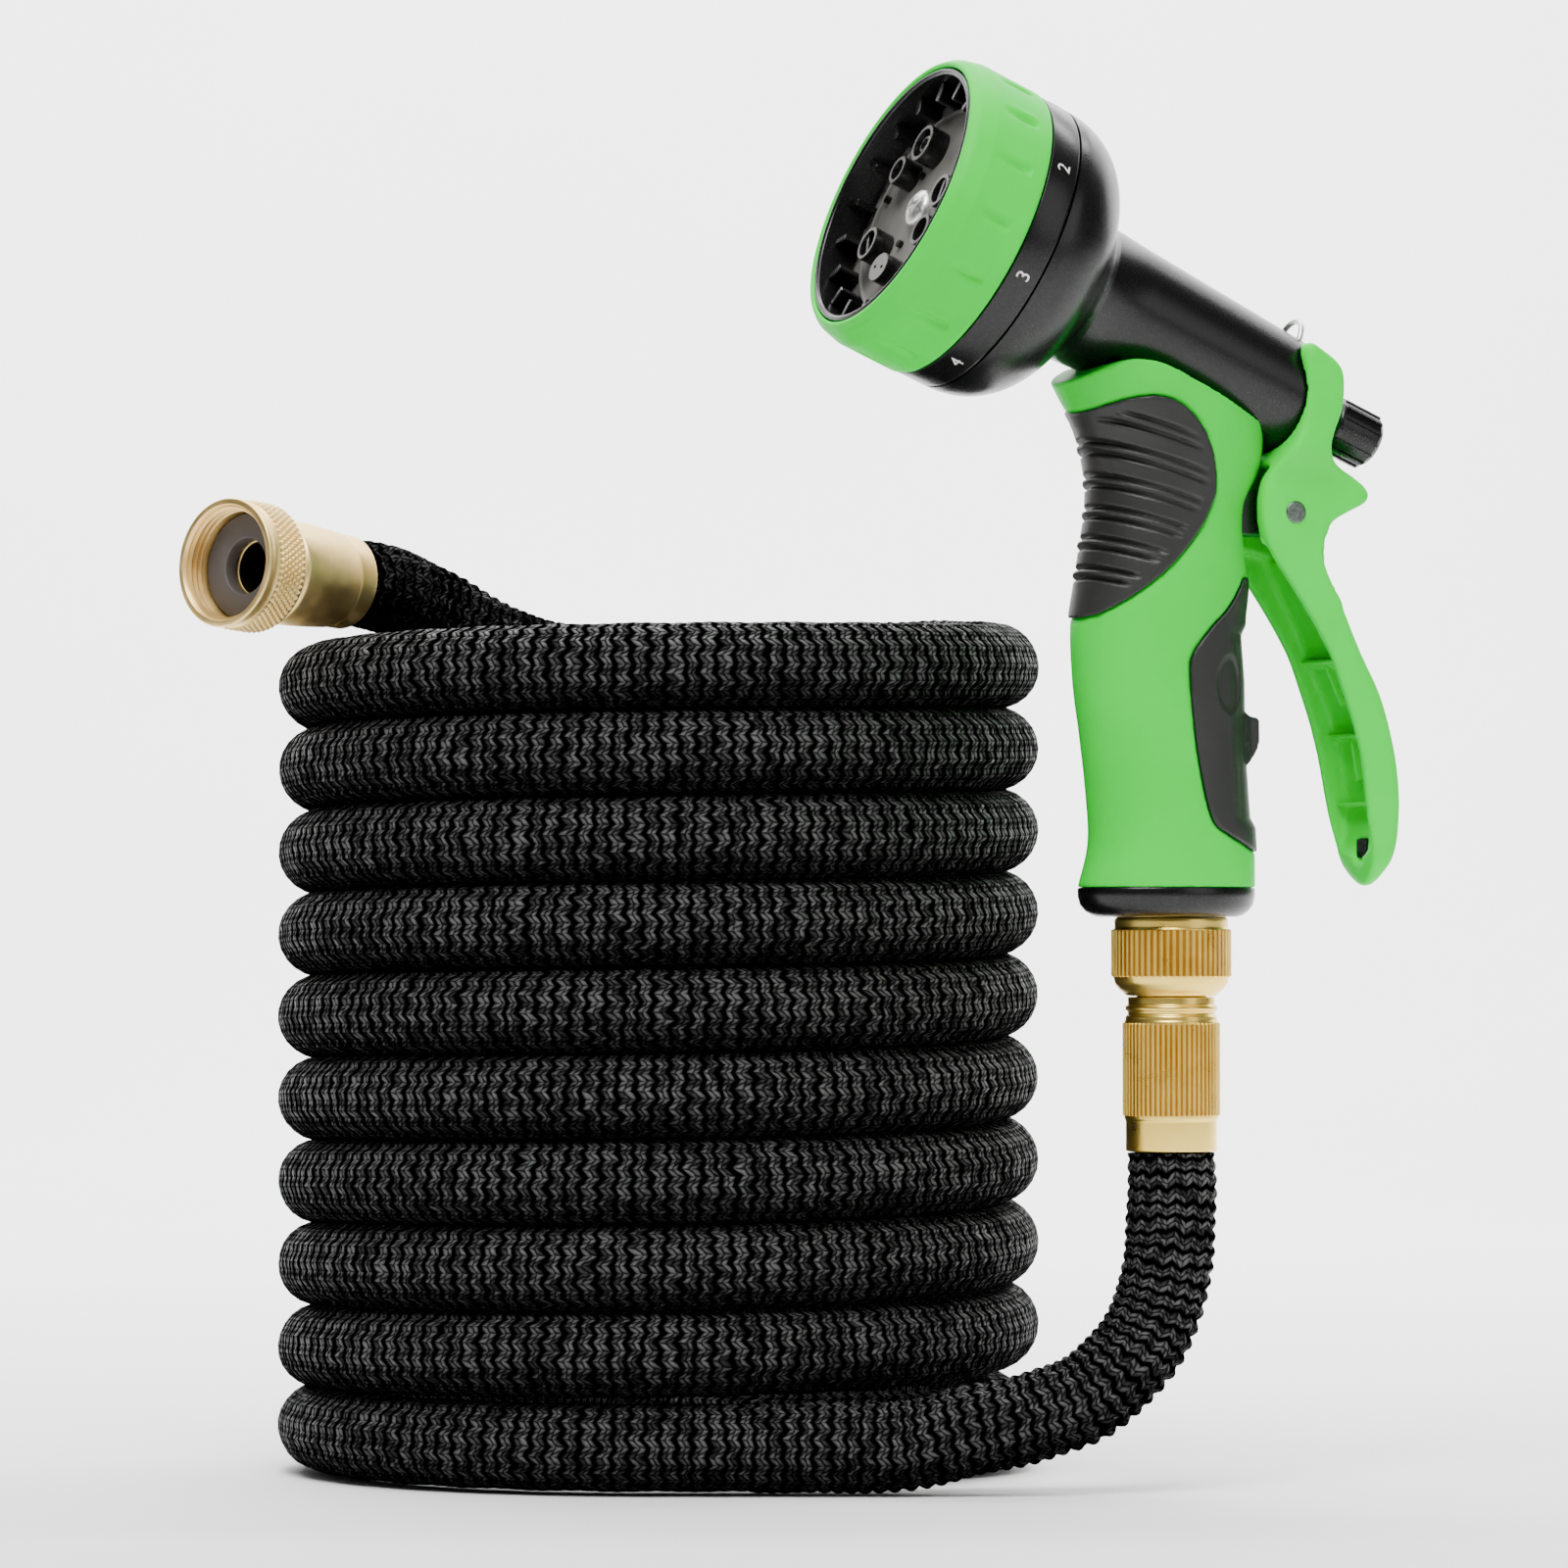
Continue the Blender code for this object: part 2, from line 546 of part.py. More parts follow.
def pivot_lug(name, grow):
    """The lug behind the handle that carries the trigger's pin."""
    pivot_x, pivot_z = TRIGGER_PIVOT[0] * MM, lifted(TRIGGER_PIVOT[1])
    half_width = LUG_HALF_WIDTH + grow
    radius = LUG_RADIUS + grow
    rings = []
    for side in (-1, 1):
        across = side * half_width
        ring = [(LUG_ROOT, across, pivot_z + radius), (LUG_ROOT, across, pivot_z - radius)]
        for step in range(9):
            angle = math.radians(270 - 22.5 * step)
            ring.append((pivot_x + radius * math.cos(angle), across, pivot_z + radius * math.sin(angle)))
        rings.append(ring)
    return lofted(name, rings)


def build_gun_body(gun, black):
    """Barrel, domed head seat, handle core, base collar and trigger lug, moulded as one."""
    core = lofted("gun_body", handle_rings(SLEEVE_THICKNESS, highest=CORE_TOP))
    body = piece("gun_body", core, None, parent=gun)
    base = lifted(HANDLE_SECTIONS[0][0]) - GAP
    full = handle_rings(0)[0]
    spigot_length = NUT_LENGTH - SPIGOT_LENGTH - 3 * GAP
    rings = [[(SPIGOT_RADIUS * math.cos(math.tau * i / HANDLE_SIDES),
               SPIGOT_RADIUS * math.sin(math.tau * i / HANDLE_SIDES), height) for i in range(HANDLE_SIDES)]
             for height in (-spigot_length, 0)]
    for scale, up in COLLAR_PROFILE:
        rings.append([(x * scale, y * scale, base * up) for x, y, z in full])
    inside = handle_rings(SLEEVE_THICKNESS + MM)[0]
    for height in (base, base + 3 * MM):
        rings.append([(x, y, height) for x, y, z in inside])
    collar = guide(lofted("base_collar", rings), parent=gun)
    barrel = guide(turned("barrel", barrel_outline(0), BARREL_SEGMENTS), barrel_place(), gun)
    lug = guide(pivot_lug("lug", 0), parent=gun)
    pivot = Matrix.Translation((TRIGGER_PIVOT[0] * MM, 0, lifted(TRIGGER_PIVOT[1])))
    across = pivot @ Matrix.Rotation(math.radians(90), 4, "X")
    past = LUG_HALF_WIDTH + MM
    pin_hole = guide(round_bar("pin_hole", PIN_RADIUS + GAP, -past, past), across, gun)
    stem_hole = guide(round_bar("stem_hole", STEM_RADIUS + GAP, BARREL_BACK - MM,
                                BARREL_BACK + STEM_SUNK + 6 * MM), barrel_place(), gun)
    for other in (barrel, collar, lug):
        join(body, other)
    for other in (pin_hole, stem_hole):
        cut(body, other)
    settle(body)
    dress(body, black)
    drop(barrel, collar, lug, pin_hole, stem_hole)
    return body


def build_grip(gun, green, pad_black):
    """Rubber sleeve with its two inlaid pads, moulded over the handle's core."""
    sleeve = piece("grip_sleeve", lofted("grip_sleeve", handle_rings(0)), None, parent=gun)
    core = guide(lofted("core_grown", handle_rings(SLEEVE_THICKNESS - GAP, lowest=-10 * MM)), parent=gun)
    barrel = guide(turned("barrel_grown", barrel_outline(GAP), BARREL_SEGMENTS), barrel_place(), gun)
    lug = guide(pivot_lug("lug_grown", GAP), parent=gun)
    over = guide(side_plate("over_saddle", OVER_SADDLE, PLATE_HALF_WIDTH), parent=gun)
    pads = []
    shapes = (("finger_pad", FINGER_PAD_OUTLINE), ("palm_pad", PALM_PAD_OUTLINE))
    for name, outline in shapes:
        pocket = guide(side_plate(name + "_pocket", outline, PLATE_HALF_WIDTH), parent=gun)
        pads.append((name, grown_in(outline), pocket))
    for other in (over, core, barrel, lug, *(pocket for name, outline, pocket in pads)):
        cut(sleeve, other)
    settle(sleeve)
    dress(sleeve, green)
    for name, outline, pocket in pads:
        pad = piece(name, lofted(name, handle_rings(-PAD_STANDS_PROUD)), None, parent=gun)
        prism = guide(side_plate(name + "_shape", outline, PLATE_HALF_WIDTH), parent=gun)
        keep_inside(pad, prism)
        cut(pad, core)
        cut(pad, barrel)
        cutters = []
        if name == "finger_pad":
            cutters = finger_grooves(gun)
        for cutter in cutters:
            cut(pad, cutter)
        settle(pad)
        dress(pad, pad_black)
        drop(prism, pocket, *cutters)
    drop(core, barrel, lug, over)


def grown_in(outline):
    """The outline moved inwards by the clearance."""
    middle = Vector((sum(x for x, z in outline), sum(z for x, z in outline))) / len(outline)
    result = []
    count = len(outline)
    for i in range(count):
        before = Vector(outline[i - 1])
        here = Vector(outline[i])
        after = Vector(outline[(i + 1) % count])
        along = (after - before).normalized()
        inwards = Vector((-along.y, along.x))
        if inwards.dot(middle - here) < 0:
            inwards = -inwards
        result.append(tuple(here + inwards * GAP / MM * 1.2))
    return result


def finger_grooves(gun):
    """Slanting grooves across the front of the finger pad."""
    cutters = []
    for row in range(GROOVE_COUNT):
        height = GROOVE_LOWEST + row * GROOVE_PITCH
        section = min(HANDLE_SECTIONS, key=lambda s: abs(s[0] - height))
        depth = section[3] * MM + PAD_STANDS_PROUD - GROOVE_DEPTH
        width = section[4] * MM + PAD_STANDS_PROUD - GROOVE_DEPTH
        outer = []
        inner = []
        for step in range(9):
            angle = math.radians(-80 + 20 * step)
            outer.append(((depth + 6 * MM) * math.cos(angle), (width + 6 * MM) * math.sin(angle)))
            inner.append((depth * math.cos(angle), width * math.sin(angle)))
        ring = outer + inner[::-1]
        rings = [[(x, y, side * GROOVE_WIDTH / 2) for x, y in ring] for side in (-1, 1)]
        place = Matrix.Translation((section[1] * MM, 0, lifted(height)))
        place = place @ Matrix.Rotation(GROOVE_SLOPE, 4, "Y")
        cutters.append(guide(lofted("groove_{}".format(row), rings), place, gun))
    return cutters


def build_dial(gun, black, green, steel):
    """The turning head: black cup with fins and spray outlets, its rubber ring and its screw."""
    axis = empty("dial_axis", barrel_place(), gun)
    ring_start = HEAD_SEAM + DIAL_BAND_LENGTH
    face = ring_start + DIAL_GRIP_LENGTH
    floor = face - DIAL_RECESS
    cup = DIAL_CUP_RADIUS - GAP
    wall = cup - DIAL_CUP_WALL
    outline = [(0, HEAD_SEAM), (HEAD_SEAM_RADIUS, HEAD_SEAM), (HEAD_SEAM_RADIUS, ring_start - GAP),
               (cup, ring_start - GAP), (cup, face - 0.6 * MM), (cup - 0.6 * MM, face), (wall, face),
               (wall - 0.4 * MM, floor), (0, floor)]
    dial = piece("spray_dial", turned("spray_dial", outline, DIAL_SEGMENTS), None, parent=axis)
    joined = []
    for i in range(FIN_COUNT):
        turn = Matrix.Rotation(math.tau * i / FIN_COUNT, 4, "Z")
        bm = bmesh.new()
        bmesh.ops.create_cube(bm, size=1.0)
        bmesh.ops.scale(bm, verts=bm.verts, vec=(FIN_LENGTH + MM, FIN_WIDTH, FIN_HEIGHT + MM))
        middle = (wall - FIN_LENGTH / 2 + MM / 2, 0, floor + FIN_HEIGHT / 2 - MM / 2)
        bmesh.ops.translate(bm, verts=bm.verts, vec=middle)
        joined.append(guide(finish_mesh("fin", bm), turn, axis))
    for angle, radius in OUTLET_BOSSES:
        away = math.radians(angle)
        place = Matrix.Translation((OUTLET_CIRCLE * math.cos(away), OUTLET_CIRCLE * math.sin(away), 0))
        boss = round_bar("outlet", radius * MM, floor - MM, floor + OUTLET_HEIGHT, OUTLET_SEGMENTS)
        joined.append(guide(boss, place, axis))
    for other in joined:
        join(dial, other)
    settle(dial)
    dress(dial, black)
    drop(*joined)
    grip = DIAL_GRIP_RADIUS
    ring = [(DIAL_CUP_RADIUS, ring_start), (grip - 0.5 * MM, ring_start), (grip, ring_start + 1.2 * MM),
            (grip, face - 5.0 * MM), (grip - 0.9 * MM, face - 1.6 * MM), (grip - 2.4 * MM, face + 0.3 * MM),
            (DIAL_CUP_RADIUS, face + 0.3 * MM)]
    piece("dial_grip", turned("dial_grip", ring, DIAL_SEGMENTS, closed=True), green, parent=axis)
    base = floor + GAP
    screw = [(0, base), (SCREW_RADIUS, base), (SCREW_RADIUS, base + SCREW_HEIGHT * 0.45),
             (SCREW_RADIUS * 0.72, base + SCREW_HEIGHT * 0.9), (0, base + SCREW_HEIGHT)]
    piece("centre_screw", turned("centre_screw", screw, SCREW_SEGMENTS), steel, parent=axis)


def build_trigger(gun, green, steel, black):
    pivot = Matrix.Translation((TRIGGER_PIVOT[0] * MM, 0, lifted(TRIGGER_PIVOT[1])))
    axis = empty("trigger_axis", pivot, gun)
    back = pivot.inverted()
    lever = piece("trigger", side_plate("trigger", TRIGGER_OUTLINE, TRIGGER_HALF_WIDTH), None, back, axis)
    inner = TRIGGER_HALF_WIDTH - TRIGGER_WALL
    hollow = guide(side_plate("lever_hollow", TRIGGER_HOLLOW, inner), back, axis)
    fork = guide(side_plate("lever_fork", TRIGGER_FORK, LUG_HALF_WIDTH + 2 * GAP), back, axis)
    across = Matrix.Rotation(math.radians(90), 4, "X")
    pin_reach = TRIGGER_HALF_WIDTH + PIN_HEAD_REACH
    past = pin_reach + MM
    pin_hole = guide(round_bar("lever_pin_hole", PIN_RADIUS + GAP, -past, past), across, axis)
    slot_place = back @ barrel_place()
    slot = round_bar("stem_slot", STEM_CUT_RADIUS, KNOB_START - KNOB_LENGTH, BARREL_BACK + STEM_SUNK,
                     SLOT_SEGMENTS)
    slot = guide(slot, slot_place, axis)
    barrel = guide(turned("barrel_clear", barrel_outline(2 * GAP), BARREL_SEGMENTS), slot_place, axis)
    for other in (hollow, fork, pin_hole, slot, barrel):
        cut(lever, other)
    settle(lever)
    dress(lever, green)
    drop(hollow, fork, pin_hole, slot, barrel)
    edge = PIN_EDGE
    outline = [(0, -pin_reach), (PIN_RADIUS - edge, -pin_reach), (PIN_RADIUS, edge - pin_reach),
               (PIN_RADIUS, pin_reach - edge), (PIN_RADIUS - edge, pin_reach), (0, pin_reach)]
    pin = turned("trigger_pin", outline, PIN_SEGMENTS)
    piece("trigger_pin", pin, steel, across, axis)
    stem_axis = empty("stem_axis", barrel_place(), gun)
    stem_back = KNOB_START - 2 * MM
    stem = round_bar("valve_stem", STEM_RADIUS, stem_back, BARREL_BACK + STEM_SUNK)
    piece("valve_stem", stem, steel, parent=stem_axis)
    count = KNOB_FLUTES * 4
    rings = []
    for height, scale in ((KNOB_START - KNOB_LENGTH, 0.86), (KNOB_START - KNOB_LENGTH + MM, 0.97),
                          (KNOB_START - 1.6 * MM, 1.0), (KNOB_START, 0.93)):
        ring = []
        for i in range(count):
            angle = math.tau * i / count
            reach = KNOB_RADIUS * scale - (0.7 * MM if i % 4 == 0 else 0)
            ring.append((reach * math.cos(angle), reach * math.sin(angle), height))
        rings.append(ring)
    knob = piece("flow_knob", lofted("flow_knob", rings), None, parent=stem_axis)
    socket = round_bar("knob_socket", STEM_RADIUS + GAP, stem_back - GAP, KNOB_START + MM)
    socket = guide(socket, parent=stem_axis)
    cut(knob, socket)
    settle(knob)
    dress(knob, black)
    drop(socket)


def build_catch_wire(gun, steel):
    """A small wire loop that stands in the top of the barrel near its back."""
    curve = bpy.data.curves.new("catch_wire", "CURVE")
    curve.dimensions = "3D"
    curve.bevel_depth = WIRE_RADIUS
    curve.bevel_resolution = 2
    curve.use_fill_caps = True
    spline = curve.splines.new("POLY")
    share = (WIRE_PLACE - BARREL_BACK) / (BARREL_FRONT - BARREL_BACK)
    radius = BARREL_BACK_RADIUS + (BARREL_FRONT_RADIUS - BARREL_BACK_RADIUS) * share
    foot = radius * math.cos(math.asin(WIRE_HALF_WIDTH / radius)) + GAP
    points = []
    for step in range(13):
        angle = math.pi * step / 12
        points.append((-foot - WIRE_HEIGHT * math.sin(angle), WIRE_HALF_WIDTH * math.cos(angle), WIRE_PLACE))
    spline.points.add(len(points) - 1)
    for target, point in zip(spline.points, points):
        target.co = (*point, 1.0)
    curve.materials.append(steel)
    thing = bpy.data.objects.new("catch_wire", curve)
    bpy.context.scene.collection.objects.link(thing)
    thing.parent = gun
    thing.matrix_local = barrel_place()


def stand_on_origin():
    """Put the origin under the middle of the whole part, on the floor."""
    bpy.context.view_layer.update()
    graph = bpy.context.evaluated_depsgraph_get()
    corners = []
    for thing in bpy.data.objects:
        if thing.type == "EMPTY" or thing.hide_render:
            continue
        mesh = thing.evaluated_get(graph).to_mesh()
        corners += [thing.matrix_world @ vert.co for vert in mesh.vertices]
    low = [min(corner[axis] for corner in corners) for axis in range(3)]
    high = [max(corner[axis] for corner in corners) for axis in range(3)]
    shift = Vector((-(low[0] + high[0]) / 2, -(low[1] + high[1]) / 2, -low[2]))
    for thing in bpy.data.objects:
        if thing.parent is None:
            thing.matrix_world = Matrix.Translation(shift) @ thing.matrix_world
    bpy.context.view_layer.update()


def main():
    clear_scene()
    braid = principled("black_braid", (0.012, 0.012, 0.013), 0.55)
    pale_brass = principled("pale_brass", (0.68, 0.52, 0.28), 0.3, 1.0)
    golden_brass = principled("golden_brass", (0.64, 0.40, 0.09), 0.25, 1.0)
    washer_rubber = principled("washer_rubber", (0.12, 0.10, 0.10), 0.6)
    black_plastic = principled("black_plastic", (0.015, 0.015, 0.016), 0.3)
    pad_rubber = principled("pad_rubber", (0.05, 0.05, 0.05), 0.6)
    green_rubber = principled("green_rubber", (0.06, 0.68, 0.12), 0.5)
    green_plastic = principled("green_plastic", (0.06, 0.68, 0.12), 0.35)
    steel = principled("steel", (0.6, 0.6, 0.6), 0.3, 1.0)
    build_hose(braid)
    build_outlet_fittings(golden_brass)
    build_inlet_fittings(pale_brass, washer_rubber)
    base = Matrix.Translation((OUTLET_X, OUTLET_Y, OUTLET_TOP + GAP))
    gun = empty("gun_axis", base @ Matrix.Rotation(GUN_TURN, 4, "Z"))
    build_gun_body(gun, black_plastic)
    build_grip(gun, green_rubber, pad_rubber)
    build_dial(gun, black_plastic, green_rubber, steel)
    build_trigger(gun, green_plastic, steel, black_plastic)
    build_catch_wire(gun, steel)
    stand_on_origin()


main()
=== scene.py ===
"""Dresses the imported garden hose: braided hose, brass couplings and the spray gun.

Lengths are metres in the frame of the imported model. MM turns millimetres into metres.
"""
import json
import math

import bmesh
import bpy
from bpy.props import FloatProperty, FloatVectorProperty, IntProperty, PointerProperty
from mathutils import Matrix, Vector


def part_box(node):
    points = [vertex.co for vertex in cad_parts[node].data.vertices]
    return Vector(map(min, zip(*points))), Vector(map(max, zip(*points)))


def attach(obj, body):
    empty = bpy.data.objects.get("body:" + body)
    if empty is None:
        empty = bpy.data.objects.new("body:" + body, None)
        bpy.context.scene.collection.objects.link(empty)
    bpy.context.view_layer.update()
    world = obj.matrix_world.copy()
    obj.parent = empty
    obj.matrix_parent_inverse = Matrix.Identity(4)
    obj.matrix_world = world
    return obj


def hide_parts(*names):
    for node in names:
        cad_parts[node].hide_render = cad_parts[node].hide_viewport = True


bl_info = {
    "name": "Garden Hose Dresser",
    "version": (1, 0, 0),
    "blender": (4, 5, 0),
    "location": "3D View > Sidebar > Garden Hose",
    "description": "Builds the finished surfaces of a coiled garden hose with its spray gun",
    "category": "Add Mesh",
}

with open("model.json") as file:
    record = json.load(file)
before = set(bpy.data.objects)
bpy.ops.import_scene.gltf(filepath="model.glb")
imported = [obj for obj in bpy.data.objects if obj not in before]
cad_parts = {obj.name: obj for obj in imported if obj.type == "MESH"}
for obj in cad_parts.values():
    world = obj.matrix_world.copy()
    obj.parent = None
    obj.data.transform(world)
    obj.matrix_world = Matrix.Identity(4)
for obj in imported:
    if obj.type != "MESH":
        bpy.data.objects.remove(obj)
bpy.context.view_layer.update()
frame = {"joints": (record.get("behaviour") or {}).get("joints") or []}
MM = 0.001
UP = Vector((0, 0, 1))
JOINTS = {joint["name"]: joint for joint in frame["joints"]}

# Routes of the hose's two free ends, in millimetres from the coil's axis on the floor
OUTLET_ROUTE = ((60.9, -85.8, 11.8), (77.0, -86.2, 15.4), (93.0, -85.0, 18.9), (105.8, -83.4, 23.9),
                (116.2, -81.8, 33.0), (122.6, -80.6, 44.0), (125.5, -80.1, 56.0))
INLET_ROUTE = ((82.5, 16.5, 205.2), (73.2, 30.4, 206.0), (59.3, 39.7, 206.0), (42.8, 43.2, 205.0),
               (26.0, 42.4, 203.4), (8.0, 38.0, 202.4), (-10.0, 31.4, 202.6), (-26.0, 24.0, 205.0),
               (-40.0, 16.4, 208.8))

# Handle sections: height of the middle, its place forwards, tilt, half depth and half width
HANDLE_SECTIONS = (
    (6.9, 1.3, 0.0, 22.6, 17.6), (17.8, 0.0, 0.0, 21.3, 16.6), (30.4, 0.8, 0.0, 21.2, 16.3),
    (44.2, 2.1, 0.0, 21.6, 16.4), (56.4, 3.0, 0.0, 22.4, 16.7), (70.4, 3.8, 0.0, 22.2, 16.8),
    (80.4, 2.6, 0.0, 21.9, 16.7), (89.9, 2.2, 2.0, 20.6, 16.4), (97.4, 1.8, 5.0, 19.7, 16.2),
    (104.4, 1.6, 10.0, 20.4, 16.4), (111.9, 2.0, 17.0, 23.8, 16.8), (119.9, 4.8, 23.5, 29.8, 17.4),
    (126.9, 5.6, 23.5, 32.0, 18.4), (138.4, 6.0, 23.5, 32.2, 19.6), (150.4, 7.0, 23.5, 32.2, 19.9))

# Side outlines on the gun's middle plane, in millimetres forwards and up
SADDLE_EDGE = ((-27, 113.6), (-25.8, 117.4), (-22.6, 119.8), (-18, 121.2), (-13.5, 122.8), (-5.6, 126.3),
               (3.7, 130.4), (10, 133.2), (15.4, 134.4), (20, 134.1), (27, 131.2), (33, 127.8), (37, 125.6))
FINGER_PAD_OUTLINE = ((42, 118), (34, 119.6), (28, 121.8), (21, 124.6), (15.4, 125.8), (11, 125.8),
                      (6.6, 124.4), (2.8, 121.8), (-0.9, 117.8), (-3.2, 113.2), (-4.4, 108), (-4.4, 102),
                      (0.2, 93.4), (7.6, 84.8), (16.4, 77.4), (24, 72.4), (42, 68.4))
PALM_PAD_OUTLINE = ((-40, 87.4), (-14.5, 82.4), (-9, 75.4), (-2.6, 69.8), (2.6, 63.6), (3.4, 57.0),
                    (1.2, 39.4), (-2.6, 23.8), (-7.5, 19.6), (-16, 16.0), (-40, 12.4))
CATCH_OUTLINE = ((-14, 48.4), (-19.9, 48.6), (-20.8, 48.0), (-20.9, 42.8), (-20.3, 40.6), (-19.2, 38.8),
                 (-17.4, 37.8), (-14, 37.4))
TRIGGER_OUTLINE = ((-30.6, 140.2), (-34.0, 138.6), (-38.4, 135.4), (-40.0, 131.8), (-39.6, 124.4),
                   (-37.2, 117.8), (-36.6, 114.2), (-39.0, 110.6), (-44.6, 107.6), (-48.4, 104.8),
                   (-48.4, 101.6), (-43.4, 99), (-38.2, 95.8), (-36.0, 90.4), (-36.8, 84.8), (-41.4, 76.0),
                   (-46.8, 64.4), (-52.0, 54.4), (-55.4, 43.4), (-57.2, 33.8), (-57.8, 26), (-57.6, 16.8),
                   (-56.2, 9.8), (-53.8, 7.2), (-51.6, 9.4), (-50.4, 17), (-48.9, 24), (-47.6, 32),
                   (-46.2, 40), (-43.6, 49), (-40.8, 56.5), (-37.6, 64.5), (-31.8, 74), (-26.2, 82),
                   (-22.0, 88), (-20.0, 93), (-19.2, 99.4), (-20.2, 106.0), (-23.6, 111.6), (-27.0, 117.4),
                   (-28.8, 124), (-29.2, 131), (-28.6, 136.6))
TRIGGER_HOLLOW = ((-20.0, 90.9), (-30.6, 88.4), (-34.2, 81.4), (-39.6, 71.4), (-45.0, 59.4), (-49.6, 49.4),
                  (-52.6, 39.4), (-53.6, 27.4), (-52.2, 17.4), (-49.5, 13), (-30.0, 6.4), (-15.0, 49.4))


# Sizes and colours that a user would change

class HoseSizes(bpy.types.PropertyGroup):
    """The hose and its coil"""
    diameter: FloatProperty(name="Diameter", description="Outer diameter of the hose", default=22.5 * MM,
                            unit="LENGTH")
    coil_radius: FloatProperty(name="Coil radius", description="Coil's axis to the middle of the hose",
                               default=85.8 * MM, unit="LENGTH")
    pitch: FloatProperty(name="Turn pitch", description="Rise of the coil for each turn", default=20.9 * MM,
                         unit="LENGTH")
    turns: IntProperty(name="Rising turns", description="Whole turns above the lowest one", default=9)
    row: FloatProperty(name="Row spacing", description="Spacing of the braid's wavy rows along the hose",
                       default=3.7 * MM, unit="LENGTH")
    pucker: FloatProperty(name="Pucker spacing",
                          description="Spacing of the gathered ridges at the free ends", default=3.3 * MM,
                          unit="LENGTH")
    # Brightest stop of the braid's colour ramp, which sits on the crests as a painted highlight.
    colour: FloatVectorProperty(name="Braid", description="Colour of the braid's yarn", subtype="COLOR",
                                size=3, default=(0.085, 0.085, 0.085))


class BrassSizes(bpy.types.PropertyGroup):
    """The two brass couplings"""
    flutes: IntProperty(name="Flutes", description="Flutes round the outlet's nut and sleeve", default=56)
    knurls: IntProperty(name="Knurls", description="Diamonds round the inlet nut", default=66)
    knurl_rows: IntProperty(name="Knurl rows", description="Rows of diamonds along the inlet nut", default=7)


class GunSizes(bpy.types.PropertyGroup):
    """The spray gun"""
    fins: IntProperty(name="Fins", description="Fins inside the dial's rim", default=18)
    grooves: IntProperty(name="Grooves", description="Grooves round the dial's rubber", default=16)
    settings: IntProperty(name="Settings", description="Numbered settings on the dial", default=8)


def linear(text):
    """An sRGB hex colour as linear RGBA."""
    values = [int(text[i:i + 2], 16) / 255 for i in (1, 3, 5)]
    return tuple(v / 12.92 if v <= 0.04045 else ((v + 0.055) / 1.055) ** 2.4 for v in values) + (1.0,)


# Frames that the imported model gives

def coil_centre():
    low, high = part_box("hose_coil")
    return Vector(((low.x + high.x) / 2, (low.y + high.y) / 2, 0.0))


def axis_frame(joint):
    """A matrix whose +Z runs along a joint's axis from the joint's point, with +X on its upper side."""
    along = Vector(JOINTS[joint]["axis"]).normalized()
    right = along.cross(UP).normalized()
    turn = Matrix((right.cross(along), right, along)).transposed().to_4x4()
    return Matrix.Translation(Vector(JOINTS[joint]["pos_m"])) @ turn


def gun_frame():
    """+X forwards, +Y to the gun's left, +Z up, from the middle of its base."""
    forwards = Vector(JOINTS["dial_turn"]["axis"])
    forwards.z = 0
    forwards.normalize()
    left = UP.cross(forwards)
    turn = Matrix((forwards, left, UP)).transposed().to_4x4()
    foot = Vector(JOINTS["outlet_swivel"]["pos_m"])
    foot.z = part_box("outlet_nut")[1].z + 0.3 * MM
    return Matrix.Translation(foot) @ turn


COIL = coil_centre()
GUN = gun_frame()
BARREL = axis_frame("dial_turn")
INLET = axis_frame("inlet_swivel")
OUTLET = Matrix.Translation(Vector((GUN.translation.x, GUN.translation.y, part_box("outlet_ferrule")[0].z)))
PIVOT = GUN.inverted() @ Vector(JOINTS["trigger_squeeze"]["pos_m"])


# Nodes for materials

def add(tree, kind, links=(), **settings):
    """Add a node, set its properties and socket values, and link its inputs."""
    made = tree.nodes.new(kind)
    values = settings.pop("values", {})
    for key, value in settings.items():
        setattr(made, key, value)
    for key, value in values.items():
        made.inputs[key].default_value = value
    for key, output in dict(links).items():
        tree.links.new(output, made.inputs[key])
    return made


def material(name, **values):
    made = bpy.data.materials.new(name)
    made.use_nodes = True
    tree = made.node_tree
    shader = tree.nodes["Principled BSDF"]
    for key, value in values.items():
        shader.inputs[key.replace("_", " ")].default_value = value
    return made, tree, shader


def ramp(tree, factor, *stops):
    """A colour ramp with (position, colour) stops."""
    made = add(tree, "ShaderNodeValToRGB", {"Fac": factor})
    elements = made.color_ramp.elements
    while len(elements) < len(stops):
        elements.new(0.5)
    for element, (place, colour) in zip(elements, stops):
        element.position = place
        element.color = colour
    return made.outputs["Color"]


def grey(value):
    return (value, value, value, 1.0)


def bump(tree, shader, height, distance, strength=1.0):
    relief = add(tree, "ShaderNodeBump", {"Height": height},
                 values={"Strength": strength, "Distance": distance})
    tree.links.new(relief.outputs["Normal"], shader.inputs["Normal"])


def noise(tree, vector, size, detail=2.0):
    """Noise whose features are about size metres across."""
    return add(tree, "ShaderNodeTexNoise", {"Vector": vector},
               values={"Scale": 1.0 / size, "Detail": detail}).outputs["Fac"]


def object_coordinates(tree):
    return add(tree, "ShaderNodeTexCoord").outputs["Object"]


def calculate(tree, operation, first, second=None):
    links = {}
    values = {}
    for index, value in enumerate((first, second)):
        if value is None:
            continue
        if isinstance(value, (int, float)):
            values[index] = value
        else:
            links[index] = value
    return add(tree, "ShaderNodeMath", links, operation=operation, values=values).outputs[0]


